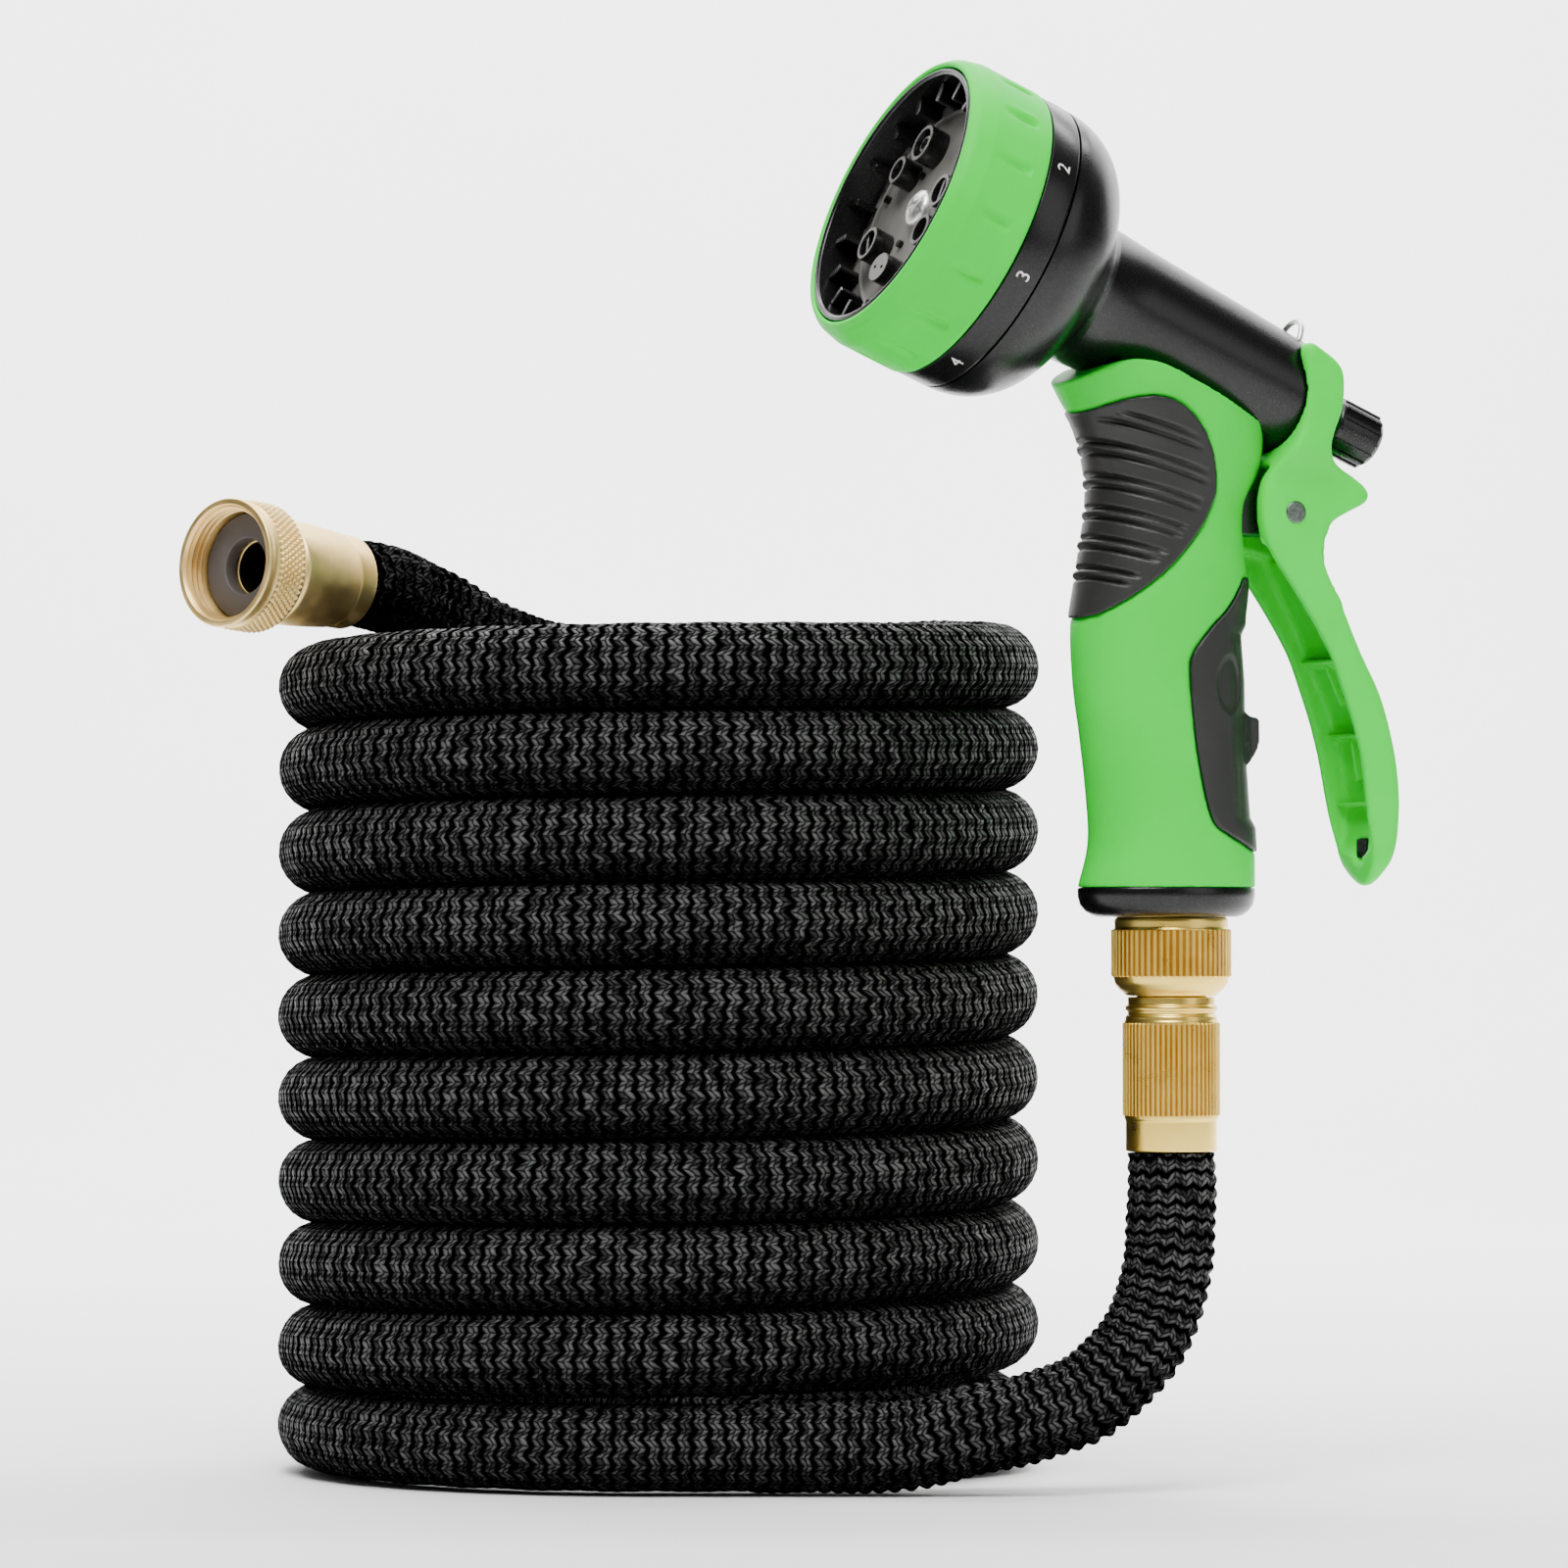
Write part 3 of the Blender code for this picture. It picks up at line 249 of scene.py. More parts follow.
def braided_polyester():
    """Black polyester yarn braided into a tube: wavy rows of short slanting plies; its colour holds painted
    shade between the rows and plies, a painted highlight on the crests, and painted shade under each turn.
    """
    made, tree, shader = material("polyester_braided_black", Roughness=0.6)
    uv = add(tree, "ShaderNodeSeparateXYZ", {0: add(tree, "ShaderNodeTexCoord").outputs["UV"]})
    along = calculate(tree, "MULTIPLY", uv.outputs["X"], 100.0)       # a unit of U is 100 mm of hose
    around = calculate(tree, "MULTIPLY", uv.outputs["Y"], 15.0)       # 15 waves round the hose
    place = object_coordinates(tree)
    wander = noise(tree, place, 9 * MM)
    kink = calculate(tree, "ABSOLUTE", calculate(tree, "SUBTRACT", calculate(tree, "FRACT", around), 0.5))
    shifted = calculate(tree, "ADD", along, calculate(tree, "MULTIPLY", kink, 2.2))
    shifted = calculate(tree, "ADD", shifted, calculate(tree, "MULTIPLY", wander, 4.2))
    sizes = bpy.context.scene.garden_hose
    row = calculate(tree, "DIVIDE", shifted, sizes.row / MM)
    place_in_row = calculate(tree, "FRACT", row)
    offset = calculate(tree, "SUBTRACT", calculate(tree, "MULTIPLY", place_in_row, 2.0), 1.0)
    narrow = calculate(tree, "DIVIDE", offset, 0.76)
    squared = calculate(tree, "MULTIPLY", narrow, narrow)
    crest = calculate(tree, "MAXIMUM", calculate(tree, "SUBTRACT", 1.0,
                                                 calculate(tree, "POWER", squared, 1.4)), 0.0)
    crest = calculate(tree, "POWER", crest, 0.6)
    split = calculate(tree, "MULTIPLY", calculate(tree, "ABSOLUTE", offset), 5.0)
    split = calculate(tree, "ADD", calculate(tree, "MULTIPLY", calculate(tree, "MINIMUM", split, 1.0), 0.55),
                      0.45)
    crest = calculate(tree, "MULTIPLY", crest, split)
    column = calculate(tree, "SIGN", offset)
    leaning = calculate(tree, "SIGN", calculate(tree, "SUBTRACT", calculate(tree, "FRACT", around), 0.5))
    slant = calculate(tree, "MULTIPLY", calculate(tree, "MULTIPLY", offset, leaning), 0.5)
    ply = calculate(tree, "ADD", calculate(tree, "MULTIPLY", around, 2.0), slant)
    ply = calculate(tree, "ADD", ply, calculate(tree, "MULTIPLY", column, 0.25))
    ply_offset = calculate(tree, "SUBTRACT", calculate(tree, "MULTIPLY", calculate(tree, "FRACT", ply), 2.0),
                           1.0)
    plump = calculate(tree, "SUBTRACT", 1.0, calculate(tree, "POWER", calculate(tree, "ABSOLUTE", ply_offset),
                                                       2.2))
    cell = add(tree, "ShaderNodeCombineXYZ", {0: calculate(tree, "FLOOR", row),
                                              1: calculate(tree, "FLOOR", ply), 2: column})
    lot = add(tree, "ShaderNodeTexWhiteNoise", {"Vector": cell.outputs[0]}).outputs["Value"]
    fibre = noise(tree, place, 0.8 * MM)
    fullness = calculate(tree, "ADD", calculate(tree, "MULTIPLY", plump, 0.7), 0.3)
    height = calculate(tree, "MULTIPLY", crest, fullness)
    uneven = calculate(tree, "ADD", calculate(tree, "MULTIPLY", lot, 0.7), 0.5)
    lit = calculate(tree, "MULTIPLY", calculate(tree, "MULTIPLY", height, uneven),
                    calculate(tree, "ADD", calculate(tree, "MULTIPLY", fibre, 0.8), 0.55))
    # Painted shade on each turn's underside, and a darker inlet stretch, both from the mesh's attribute.
    darker_inlet_and_painted_under_shade = add(tree, "ShaderNodeAttribute", attribute_name="darker_inlet_and_painted_under_shade").outputs["Fac"]
    lit = calculate(tree, "MULTIPLY", lit, calculate(tree, "SUBTRACT", 1.0, darker_inlet_and_painted_under_shade))
    # The base colour follows the crest height: painted shade in the gaps between rows and plies, a painted
    # highlight on the crests.
    colour = ramp(tree, lit, (0.12, grey(0.0006)), (0.4, grey(0.016)), (0.9, (*sizes.colour, 1.0)))
    tree.links.new(colour, shader.inputs["Base Color"])
    tree.links.new(ramp(tree, lit, (0.2, grey(1.0)), (0.8, grey(0.48))), shader.inputs["Roughness"])
    tree.links.new(ramp(tree, lit, (0.25, grey(0.0)), (0.85, grey(0.16))),
                   shader.inputs["Specular IOR Level"])
    flattened = calculate(tree, "SUBTRACT", 1.0, calculate(tree, "MULTIPLY", darker_inlet_and_painted_under_shade, 0.3))
    height = calculate(tree, "MULTIPLY", height, flattened)
    bump(tree, shader, calculate(tree, "ADD", height, calculate(tree, "MULTIPLY", fibre, 0.12)), 1.0 * MM)
    return made


def turned_brass(name, light, dark, roughness):
    """Brass turned on a lathe and lightly brushed: soft sheen, with slight tarnish in patches."""
    made, tree, shader = material(name, Metallic=1.0, Roughness=roughness)
    place = object_coordinates(tree)
    patches = noise(tree, place, 12 * MM, 3.0)
    tree.links.new(ramp(tree, patches, (0.3, linear(dark)), (0.65, linear(light))),
                   shader.inputs["Base Color"])
    handled = noise(tree, place, 5 * MM, 4.0)
    low, high = roughness * 0.85, roughness * 1.2
    tree.links.new(ramp(tree, handled, (0.3, grey(low)), (0.7, grey(high))), shader.inputs["Roughness"])
    return made


def moulded_plastic(name, light, dark, roughness, grain, depth, gloss):
    """Injection-moulded plastic: an even skin, faint flow patches and a very fine grain."""
    made, tree, shader = material(name, Roughness=roughness, IOR=1.49, Specular_IOR_Level=gloss)
    place = object_coordinates(tree)
    patches = noise(tree, place, 22 * MM, 3.0)
    tree.links.new(ramp(tree, patches, (0.3, linear(dark)), (0.7, linear(light))),
                   shader.inputs["Base Color"])
    fine = noise(tree, place, grain, 2.0)
    tree.links.new(ramp(tree, fine, (0.2, grey(roughness * 0.85)), (0.8, grey(roughness * 1.15))),
                   shader.inputs["Roughness"])
    bump(tree, shader, fine, depth, 0.5)
    return made


def moulded_rubber(name, light, dark, roughness, grain, depth, glow=0.0, gloss=0.4):
    """Moulded soft rubber: matt, with a fine leathery grain and handling marks."""
    made, tree, shader = material(name, Roughness=roughness, IOR=1.5, Subsurface_Weight=glow,
                                  Subsurface_Scale=1.5 * MM, Specular_IOR_Level=gloss)
    place = object_coordinates(tree)
    patches = noise(tree, place, 26 * MM, 4.0)
    tree.links.new(ramp(tree, patches, (0.3, linear(dark)), (0.7, linear(light))),
                   shader.inputs["Base Color"])
    cells = add(tree, "ShaderNodeTexVoronoi", {"Vector": place},
                values={"Scale": 1.0 / grain}).outputs["Distance"]
    tree.links.new(ramp(tree, cells, (0.0, grey(roughness * 1.1)), (0.7, grey(roughness * 0.88))),
                   shader.inputs["Roughness"])
    bump(tree, shader, cells, depth, 0.5)
    return made


def plated_steel(name, light, dark, roughness):
    """Nickel-plated steel: bright, with fine scuffs."""
    made, tree, shader = material(name, Metallic=1.0, Roughness=roughness)
    place = object_coordinates(tree)
    scuffs = noise(tree, place, 0.8 * MM, 5.0)
    tree.links.new(ramp(tree, scuffs, (0.3, linear(dark)), (0.7, linear(light))), shader.inputs["Base Color"])
    tree.links.new(ramp(tree, scuffs, (0.3, grey(roughness * 0.8)), (0.7, grey(roughness * 1.5))),
                   shader.inputs["Roughness"])
    return made


def printed_ink():
    """Pad-printed white ink, slightly worn through."""
    made, tree, shader = material("ink_pad_printed_white", Roughness=0.5)
    worn = noise(tree, object_coordinates(tree), 0.7 * MM, 4.0)
    tree.links.new(ramp(tree, worn, (0.36, linear("#8c8c8a")), (0.5, linear("#e9e9e6"))),
                   shader.inputs["Base Color"])
    return made


def painted_floor():
    """Matt white studio floor with the faintest unevenness."""
    made, tree, shader = material("floor_painted_white", Roughness=0.75)
    patches = noise(tree, object_coordinates(tree), 0.4, 2.0)
    tree.links.new(ramp(tree, patches, (0.3, linear("#f4f4f4")), (0.7, linear("#f8f8f8"))),
                   shader.inputs["Base Color"])
    return made


FINISHES = {}


def finish(name):
    """Each material is made once, when a piece first needs it."""
    makers = {"braid": braided_polyester,
              "pale_brass": lambda: turned_brass("brass_turned_pale", "#fbdd98", "#f2cd80", 0.44),
              "golden_brass": lambda: turned_brass("brass_polished_golden", "#ffdf74", "#ffd25a", 0.3),
              # Darker brass laid between the ribs as painted shade in the grooves.
              "groove_brass": lambda: turned_brass("brass_painted_groove_shade", "#c08c30", "#a07020", 0.4),
              # Dark brass lining the inlet bore as painted shade.
              "bore_brass": lambda: turned_brass("brass_painted_bore_shade", "#4c3c20", "#2e2312", 0.45),
              "washer": lambda: moulded_rubber("rubber_moulded_grey", "#5c5855", "#4a4643", 0.6, 0.6 * MM,
                                               0.03 * MM),
              "black_plastic": lambda: moulded_plastic("abs_moulded_black", "#070707", "#040404", 0.28,
                                                       0.25 * MM, 0.002 * MM, 0.42),
              # Grey that stands in for light on the black dial face and outlet tops: painted light.
              "face_plastic": lambda: moulded_plastic("abs_grey_painted_lit_face", "#73726d", "#484743", 0.5,
                                                      0.5 * MM, 0.05 * MM, 0.3),
              "pad_rubber": lambda: moulded_rubber("rubber_moulded_charcoal", "#262624", "#1e1f1d", 0.5,
                                                   0.5 * MM, 0.02 * MM),
              "green_rubber": lambda: moulded_rubber("rubber_moulded_green", "#00d932", "#00cf2c", 0.5,
                                                     0.5 * MM, 0.01 * MM, 0.06, 0.1),
              "green_plastic": lambda: moulded_plastic("polypropylene_moulded_green", "#06e036", "#04d82e",
                                                       0.4, 0.5 * MM, 0.006 * MM, 0.14),
              "steel": lambda: plated_steel("steel_nickel_plated", "#f0f0ee", "#cfd0ce", 0.34),
              "pin_steel": lambda: plated_steel("steel_blackened", "#7a847c", "#525a54", 0.38),
              "ink": printed_ink, "floor": painted_floor,}
    if name not in FINISHES:
        FINISHES[name] = makers[name]()
    return FINISHES[name]


# Meshes

def bm_to_mesh(name, bm, recalculate=True):
    if recalculate:
        bmesh.ops.recalc_face_normals(bm, faces=bm.faces)
    mesh = bpy.data.meshes.new(name)
    bm.to_mesh(mesh)
    bm.free()
    return mesh


def link(name, mesh):
    thing = bpy.data.objects.new(name, mesh)
    bpy.context.scene.collection.objects.link(thing)
    return thing


def smooth(mesh, angle=35):
    mesh.shade_smooth()
    mesh.set_sharp_from_angle(angle=math.radians(angle))


def turned(name, outline, segments=96, closed=False):
    """Turn an outline of (radius, height) about Z; an open one starts and ends on the axis."""
    bm = bmesh.new()
    verts = [bm.verts.new((radius, 0, height)) for radius, height in outline]
    pairs = list(zip(verts, verts[1:]))
    if closed:
        pairs.append((verts[-1], verts[0]))
    edges = [bm.edges.new(pair) for pair in pairs]
    bmesh.ops.spin(bm, geom=verts + edges, cent=(0, 0, 0), axis=(0, 0, 1), angle=math.tau,
                   steps=segments, use_merge=True)
    bmesh.ops.remove_doubles(bm, verts=bm.verts, dist=0.001 * MM)
    return bm_to_mesh(name, bm)


def rounded(corners, radius, steps=3):
    """Round the corners of an outline of (radius, height) points; its two ends stay sharp."""
    result = [Vector(corners[0])]
    for before, here, after in zip(corners, corners[1:], corners[2:]):
        before, here, after = Vector(before), Vector(here), Vector(after)
        to_before, to_after = before - here, after - here
        reach = min(radius, to_before.length * 0.45, to_after.length * 0.45)
        start = here + to_before.normalized() * reach
        end = here + to_after.normalized() * reach
        for step in range(steps + 1):
            t = step / steps
            result.append(start.lerp(here, t).lerp(here.lerp(end, t), t))
    result.append(Vector(corners[-1]))
    return [tuple(point) for point in result]


def lofted(name, rings):
    """A closed shape through rings that have the same number of points."""
    bm = bmesh.new()
    loops = [[bm.verts.new(point) for point in ring] for ring in rings]
    count = len(rings[0])
    for lower, upper in zip(loops, loops[1:]):
        for i in range(count):
            j = (i + 1) % count
            bm.faces.new((lower[i], lower[j], upper[j], upper[i]))
    bm.faces.new(loops[0][::-1])
    bm.faces.new(loops[-1])
    return bm_to_mesh(name, bm)


def curve_through(points, per_span, closed=False):
    """Points on a smooth curve through the given ones."""
    points = [Vector(point) for point in points]
    if closed:
        padded = [points[-1]] + points + points[:2]
    else:
        padded = [2 * points[0] - points[1]] + points + [2 * points[-1] - points[-2]]
    result = []
    for a, b, c, d in zip(padded, padded[1:], padded[2:], padded[3:]):
        for step in range(per_span):
            t = step / per_span
            result.append(0.5 * (2 * b + (c - a) * t + (2 * a - 5 * b + 4 * c - d) * t * t
                                 + (3 * b - a - 3 * c + d) * t ** 3))
    if not closed:
        result.append(points[-1])
    return result


def side_plate(name, outline, half_width):
    """Extrude an outline of (forwards, up) in millimetres across the gun."""
    rings = [[(x * MM, side * half_width, z * MM) for x, z in outline] for side in (-1, 1)]
    return lofted(name, rings)


def inset_outline(outline, distance):
    """Move each point of a closed outline inwards; distance may be below zero."""
    area = sum(a[0] * b[1] - b[0] * a[1] for a, b in zip(outline, outline[1:] + outline[:1]))
    turn = 1 if area > 0 else -1
    result = []
    for i, here in enumerate(outline):
        before = Vector(outline[i - 1])
        after = Vector(outline[(i + 1) % len(outline)])
        along = (after - before).normalized()
        result.append((here[0] - along.y * turn * distance, here[1] + along.x * turn * distance))
    return result


def bar(name, radius, start, end, sides=48, centre=(0, 0)):
    rings = []
    for height in (start, end):
        rings.append([(centre[0] + radius * math.cos(math.tau * i / sides),
                       centre[1] + radius * math.sin(math.tau * i / sides), height) for i in range(sides)])
    return lofted(name, rings)


def boolean(thing, mesh, operation, place=None):
    """Cut, join or intersect a thing with a mesh, at once."""
    other = link("tool_shape", mesh)
    if place:
        other.matrix_world = place
    modifier = thing.modifiers.new("Boolean", "BOOLEAN")
    modifier.operation = operation
    modifier.solver = "MANIFOLD"
    modifier.object = other
    bake(thing)
    bpy.data.objects.remove(other, do_unlink=True)
    bpy.data.meshes.remove(mesh)


def bake(thing):
    """Apply a thing's modifiers."""
    bpy.context.view_layer.update()
    graph = bpy.context.evaluated_depsgraph_get()
    result = bpy.data.meshes.new_from_object(thing.evaluated_get(graph))
    old = thing.data
    thing.modifiers.clear()
    thing.data = result
    if old.users == 0:
        bpy.data.meshes.remove(old)


def soften(thing, voxel, passes):
    """Remesh a moulded shape evenly and smooth it, which rounds its edges as a mould does."""
    remesh = thing.modifiers.new("Remesh", "REMESH")
    remesh.mode = "VOXEL"
    remesh.voxel_size = voxel
    remesh.adaptivity = 0.0
    relax = thing.modifiers.new("Smooth", "SMOOTH")
    relax.iterations = passes
    relax.factor = 0.5
    bake(thing)
    thing.data.shade_smooth()


def put(thing, place, finish_name, body, replaces=(), angle=35, shade=True):
    """Settle a piece: place in its mesh, material, body, and the CAD nodes that it stands for."""
    thing.data.transform(place)
    thing.matrix_world = Matrix.Identity(4)
    thing.data.materials.clear()
    thing.data.materials.append(finish(finish_name))
    if shade:
        smooth(thing.data, angle)
    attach(thing, body)
    if replaces:
        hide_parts(*replaces)


def curve_mesh(curve):
    """The plain mesh of a curve or a text, which is used up."""
    holder = link("curve_holder", curve)
    bpy.context.view_layer.update()
    graph = bpy.context.evaluated_depsgraph_get()
    mesh = bpy.data.meshes.new_from_object(holder.evaluated_get(graph))
    bpy.data.objects.remove(holder, do_unlink=True)
    bpy.data.curves.remove(curve)
    return mesh


def joined(name, meshes):
    """One object from several meshes, which are used up."""
    bm = bmesh.new()
    for mesh in meshes:
        bm.from_mesh(mesh)
        bpy.data.meshes.remove(mesh)
    mesh = bpy.data.meshes.new(name)
    bm.to_mesh(mesh)
    bm.free()
    return link(name, mesh)


# Geometry Nodes: copies in rings

def ring_tree():
    """Copies of an object round +Z in rows: Count in each of Rows, on Radius, Row Step apart."""
    tree = bpy.data.node_groups.new("copies_in_rings", "GeometryNodeTree")
    face = tree.interface
    sockets = (("Count", "NodeSocketInt"), ("Rows", "NodeSocketInt"), ("Radius", "NodeSocketFloat"),
               ("Row Step", "NodeSocketFloat"), ("Stagger", "NodeSocketFloat"), ("Start", "NodeSocketFloat"),
               ("Copy", "NodeSocketObject"), ("Material", "NodeSocketMaterial"))
    for name, kind in sockets:
        face.new_socket(name, in_out="INPUT", socket_type=kind)
    face.new_socket("Geometry", in_out="OUTPUT", socket_type="NodeSocketGeometry")
    entry = add(tree, "NodeGroupInput").outputs

    def maths(operation, first, second):
        return add(tree, "ShaderNodeMath", {0: first, 1: second}, operation=operation).outputs[0]

    index = add(tree, "GeometryNodeInputIndex").outputs[0]
    row = add(tree, "ShaderNodeMath", {0: maths("DIVIDE", index, entry["Count"])},
              operation="FLOOR").outputs[0]
    odd = add(tree, "ShaderNodeMath", {0: row}, operation="MODULO", values={1: 2.0}).outputs[0]
    share = maths("ADD", index, maths("MULTIPLY", odd, entry["Stagger"]))
    turns = maths("DIVIDE", share, entry["Count"])
    angle = add(tree, "ShaderNodeMath", {0: turns, 2: entry["Start"]}, operation="MULTIPLY_ADD",
                values={1: math.tau}).outputs[0]
    cosine = add(tree, "ShaderNodeMath", {0: angle}, operation="COSINE").outputs[0]
    sine = add(tree, "ShaderNodeMath", {0: angle}, operation="SINE").outputs[0]
    place = add(tree, "ShaderNodeCombineXYZ", {
        0: maths("MULTIPLY", cosine, entry["Radius"]), 1: maths("MULTIPLY", sine, entry["Radius"]),
        2: maths("MULTIPLY", row, entry["Row Step"])}).outputs[0]
    points = add(tree, "GeometryNodePoints", {0: maths("MULTIPLY", entry["Count"], entry["Rows"]), 1: place})
    copy = add(tree, "GeometryNodeObjectInfo", {"Object": entry["Copy"]})
    turn = add(tree, "ShaderNodeCombineXYZ", {2: angle}).outputs[0]
    spread = add(tree, "GeometryNodeInstanceOnPoints", {
        "Points": points.outputs[0], "Instance": copy.outputs["Geometry"], "Rotation": turn})
    real = add(tree, "GeometryNodeRealizeInstances", {0: spread.outputs[0]})
    dressed = add(tree, "GeometryNodeSetMaterial", {"Geometry": real.outputs[0],
                                                    "Material": entry["Material"]})
    leave = tree.nodes.new("NodeGroupOutput")
    tree.links.new(dressed.outputs[0], leave.inputs[0])
    return tree


def ring_of(name, copy_mesh, finish_name, **inputs):
    """A plain mesh of copies in rings, made by the node tree."""
    tree = bpy.data.node_groups.get("copies_in_rings") or ring_tree()
    identifiers = {item.name: item.identifier for item in tree.interface.items_tree if item.in_out == "INPUT"}
    copy = link("ring_copy", copy_mesh)
    holder = link(name + "_rings", bpy.data.meshes.new(name + "_holder"))
    modifier = holder.modifiers.new("Rings", "NODES")
    modifier.node_group = tree
    settings = {"Rows": 1, "Row Step": 0.0, "Stagger": 0.0, "Start": 0.0, "Copy": copy,
                "Material": finish(finish_name)}
    settings.update({key.replace("_", " "): value for key, value in inputs.items()})
    for key, value in settings.items():
        modifier[identifiers[key]] = value
    holder.update_tag()
    bake(holder)
    mesh = holder.data
    bpy.data.objects.remove(holder, do_unlink=True)
    bpy.data.objects.remove(copy, do_unlink=True)
    bpy.data.meshes.remove(copy_mesh)
    return mesh


def block(name, size, bevel=0.0, segments=1, centre=(0, 0, 0)):
    bm = bmesh.new()
    bmesh.ops.create_cube(bm, size=1.0)
    bmesh.ops.scale(bm, verts=bm.verts, vec=size)
    if bevel:
        bmesh.ops.bevel(bm, geom=bm.edges[:], offset=bevel, segments=segments, affect="EDGES")
    bmesh.ops.translate(bm, verts=bm.verts, vec=centre)
    return bm_to_mesh(name, bm)


def diamond(name, width, length, height):
    """A four-sided point that stands along +X."""
    bm = bmesh.new()
    base = [bm.verts.new(point) for point in ((0, -width / 2, 0), (0, 0, length / 2), (0, width / 2, 0),
                                              (0, 0, -length / 2))]
    tip = bm.verts.new((height, 0, 0))
    for a, b in zip(base, base[1:] + base[:1]):
        bm.faces.new((a, b, tip))
    bm.faces.new(base)
    return bm_to_mesh(name, bm)


# Hose

def hose_centreline(sizes):
    """Every point that the hose follows, from the outlet ferrule to the inlet ferrule."""
    radius = sizes.coil_radius
    low = sizes.diameter / 2 + 0.1 * MM
    exit_point = OUTLET.translation - COIL
    route = [exit_point - UP * 0.3 * MM, exit_point - UP * 14 * MM]
    route += [Vector(point) * MM for point in OUTLET_ROUTE[::-1]]
    route += [Vector((x, -radius, low)) for x in (45 * MM, 30 * MM, 15 * MM)]
    for step in range(23):
        angle = math.radians(270 - 4 * step)
        route.append(Vector((radius * math.cos(angle), radius * math.sin(angle), low)))
    # An S of two half circles, across the floor inside the coil
    for step in range(13):
        angle = math.radians(180 - 15 * step)
        route.append(Vector((radius / 2 * (math.cos(angle) - 1), radius / 2 * math.sin(angle), low)))
    for step in range(1, 12):
        angle = math.radians(180 + 15 * step)
        route.append(Vector((radius / 2 * (math.cos(angle) + 1), radius / 2 * math.sin(angle), low)))
    sag, first = 2.3 * MM, 31.2 * MM

    def rising(turn):
        return first - sizes.pitch / 2 + sizes.pitch * turn - sag * (1 + math.cos(math.tau * turn))

    for step in range(int(sizes.turns * 90) + 1):
        turn = step / 90
        on_floor = max(0.0, 1 - step * 4 / 130) ** 2
        height = rising(turn) + (low - rising(0)) * on_floor
        angle = math.tau * turn
        route.append(Vector((radius * math.cos(angle), radius * math.sin(angle), height)))
    route += [Vector(point) * MM for point in INLET_ROUTE]
    back = INLET.translation - COIL
    along = INLET.col[2].to_3d()
    route += [back - along * 22 * MM - UP * 3.4 * MM, back - along * 4 * MM, back + along * 8.7 * MM]
    return [point + COIL for point in curve_through(route, 10)]


def paced(points, pace):
    """Points along a line whose spacing follows pace(distance from the start)."""
    lengths = [0.0]
    for a, b in zip(points, points[1:]):
        lengths.append(lengths[-1] + (b - a).length)
    total = lengths[-1]
    marks = [0.0]
    while marks[-1] < total - pace(marks[-1], total):
        marks.append(marks[-1] + pace(marks[-1], total))
    marks.append(total)
    result = []
    i = 0
    for mark in marks:
        while i < len(lengths) - 2 and lengths[i + 1] < mark:
            i += 1
        span = lengths[i + 1] - lengths[i]
        result.append(points[i].lerp(points[i + 1], (mark - lengths[i]) / span if span else 0.0))
    return result, marks, total


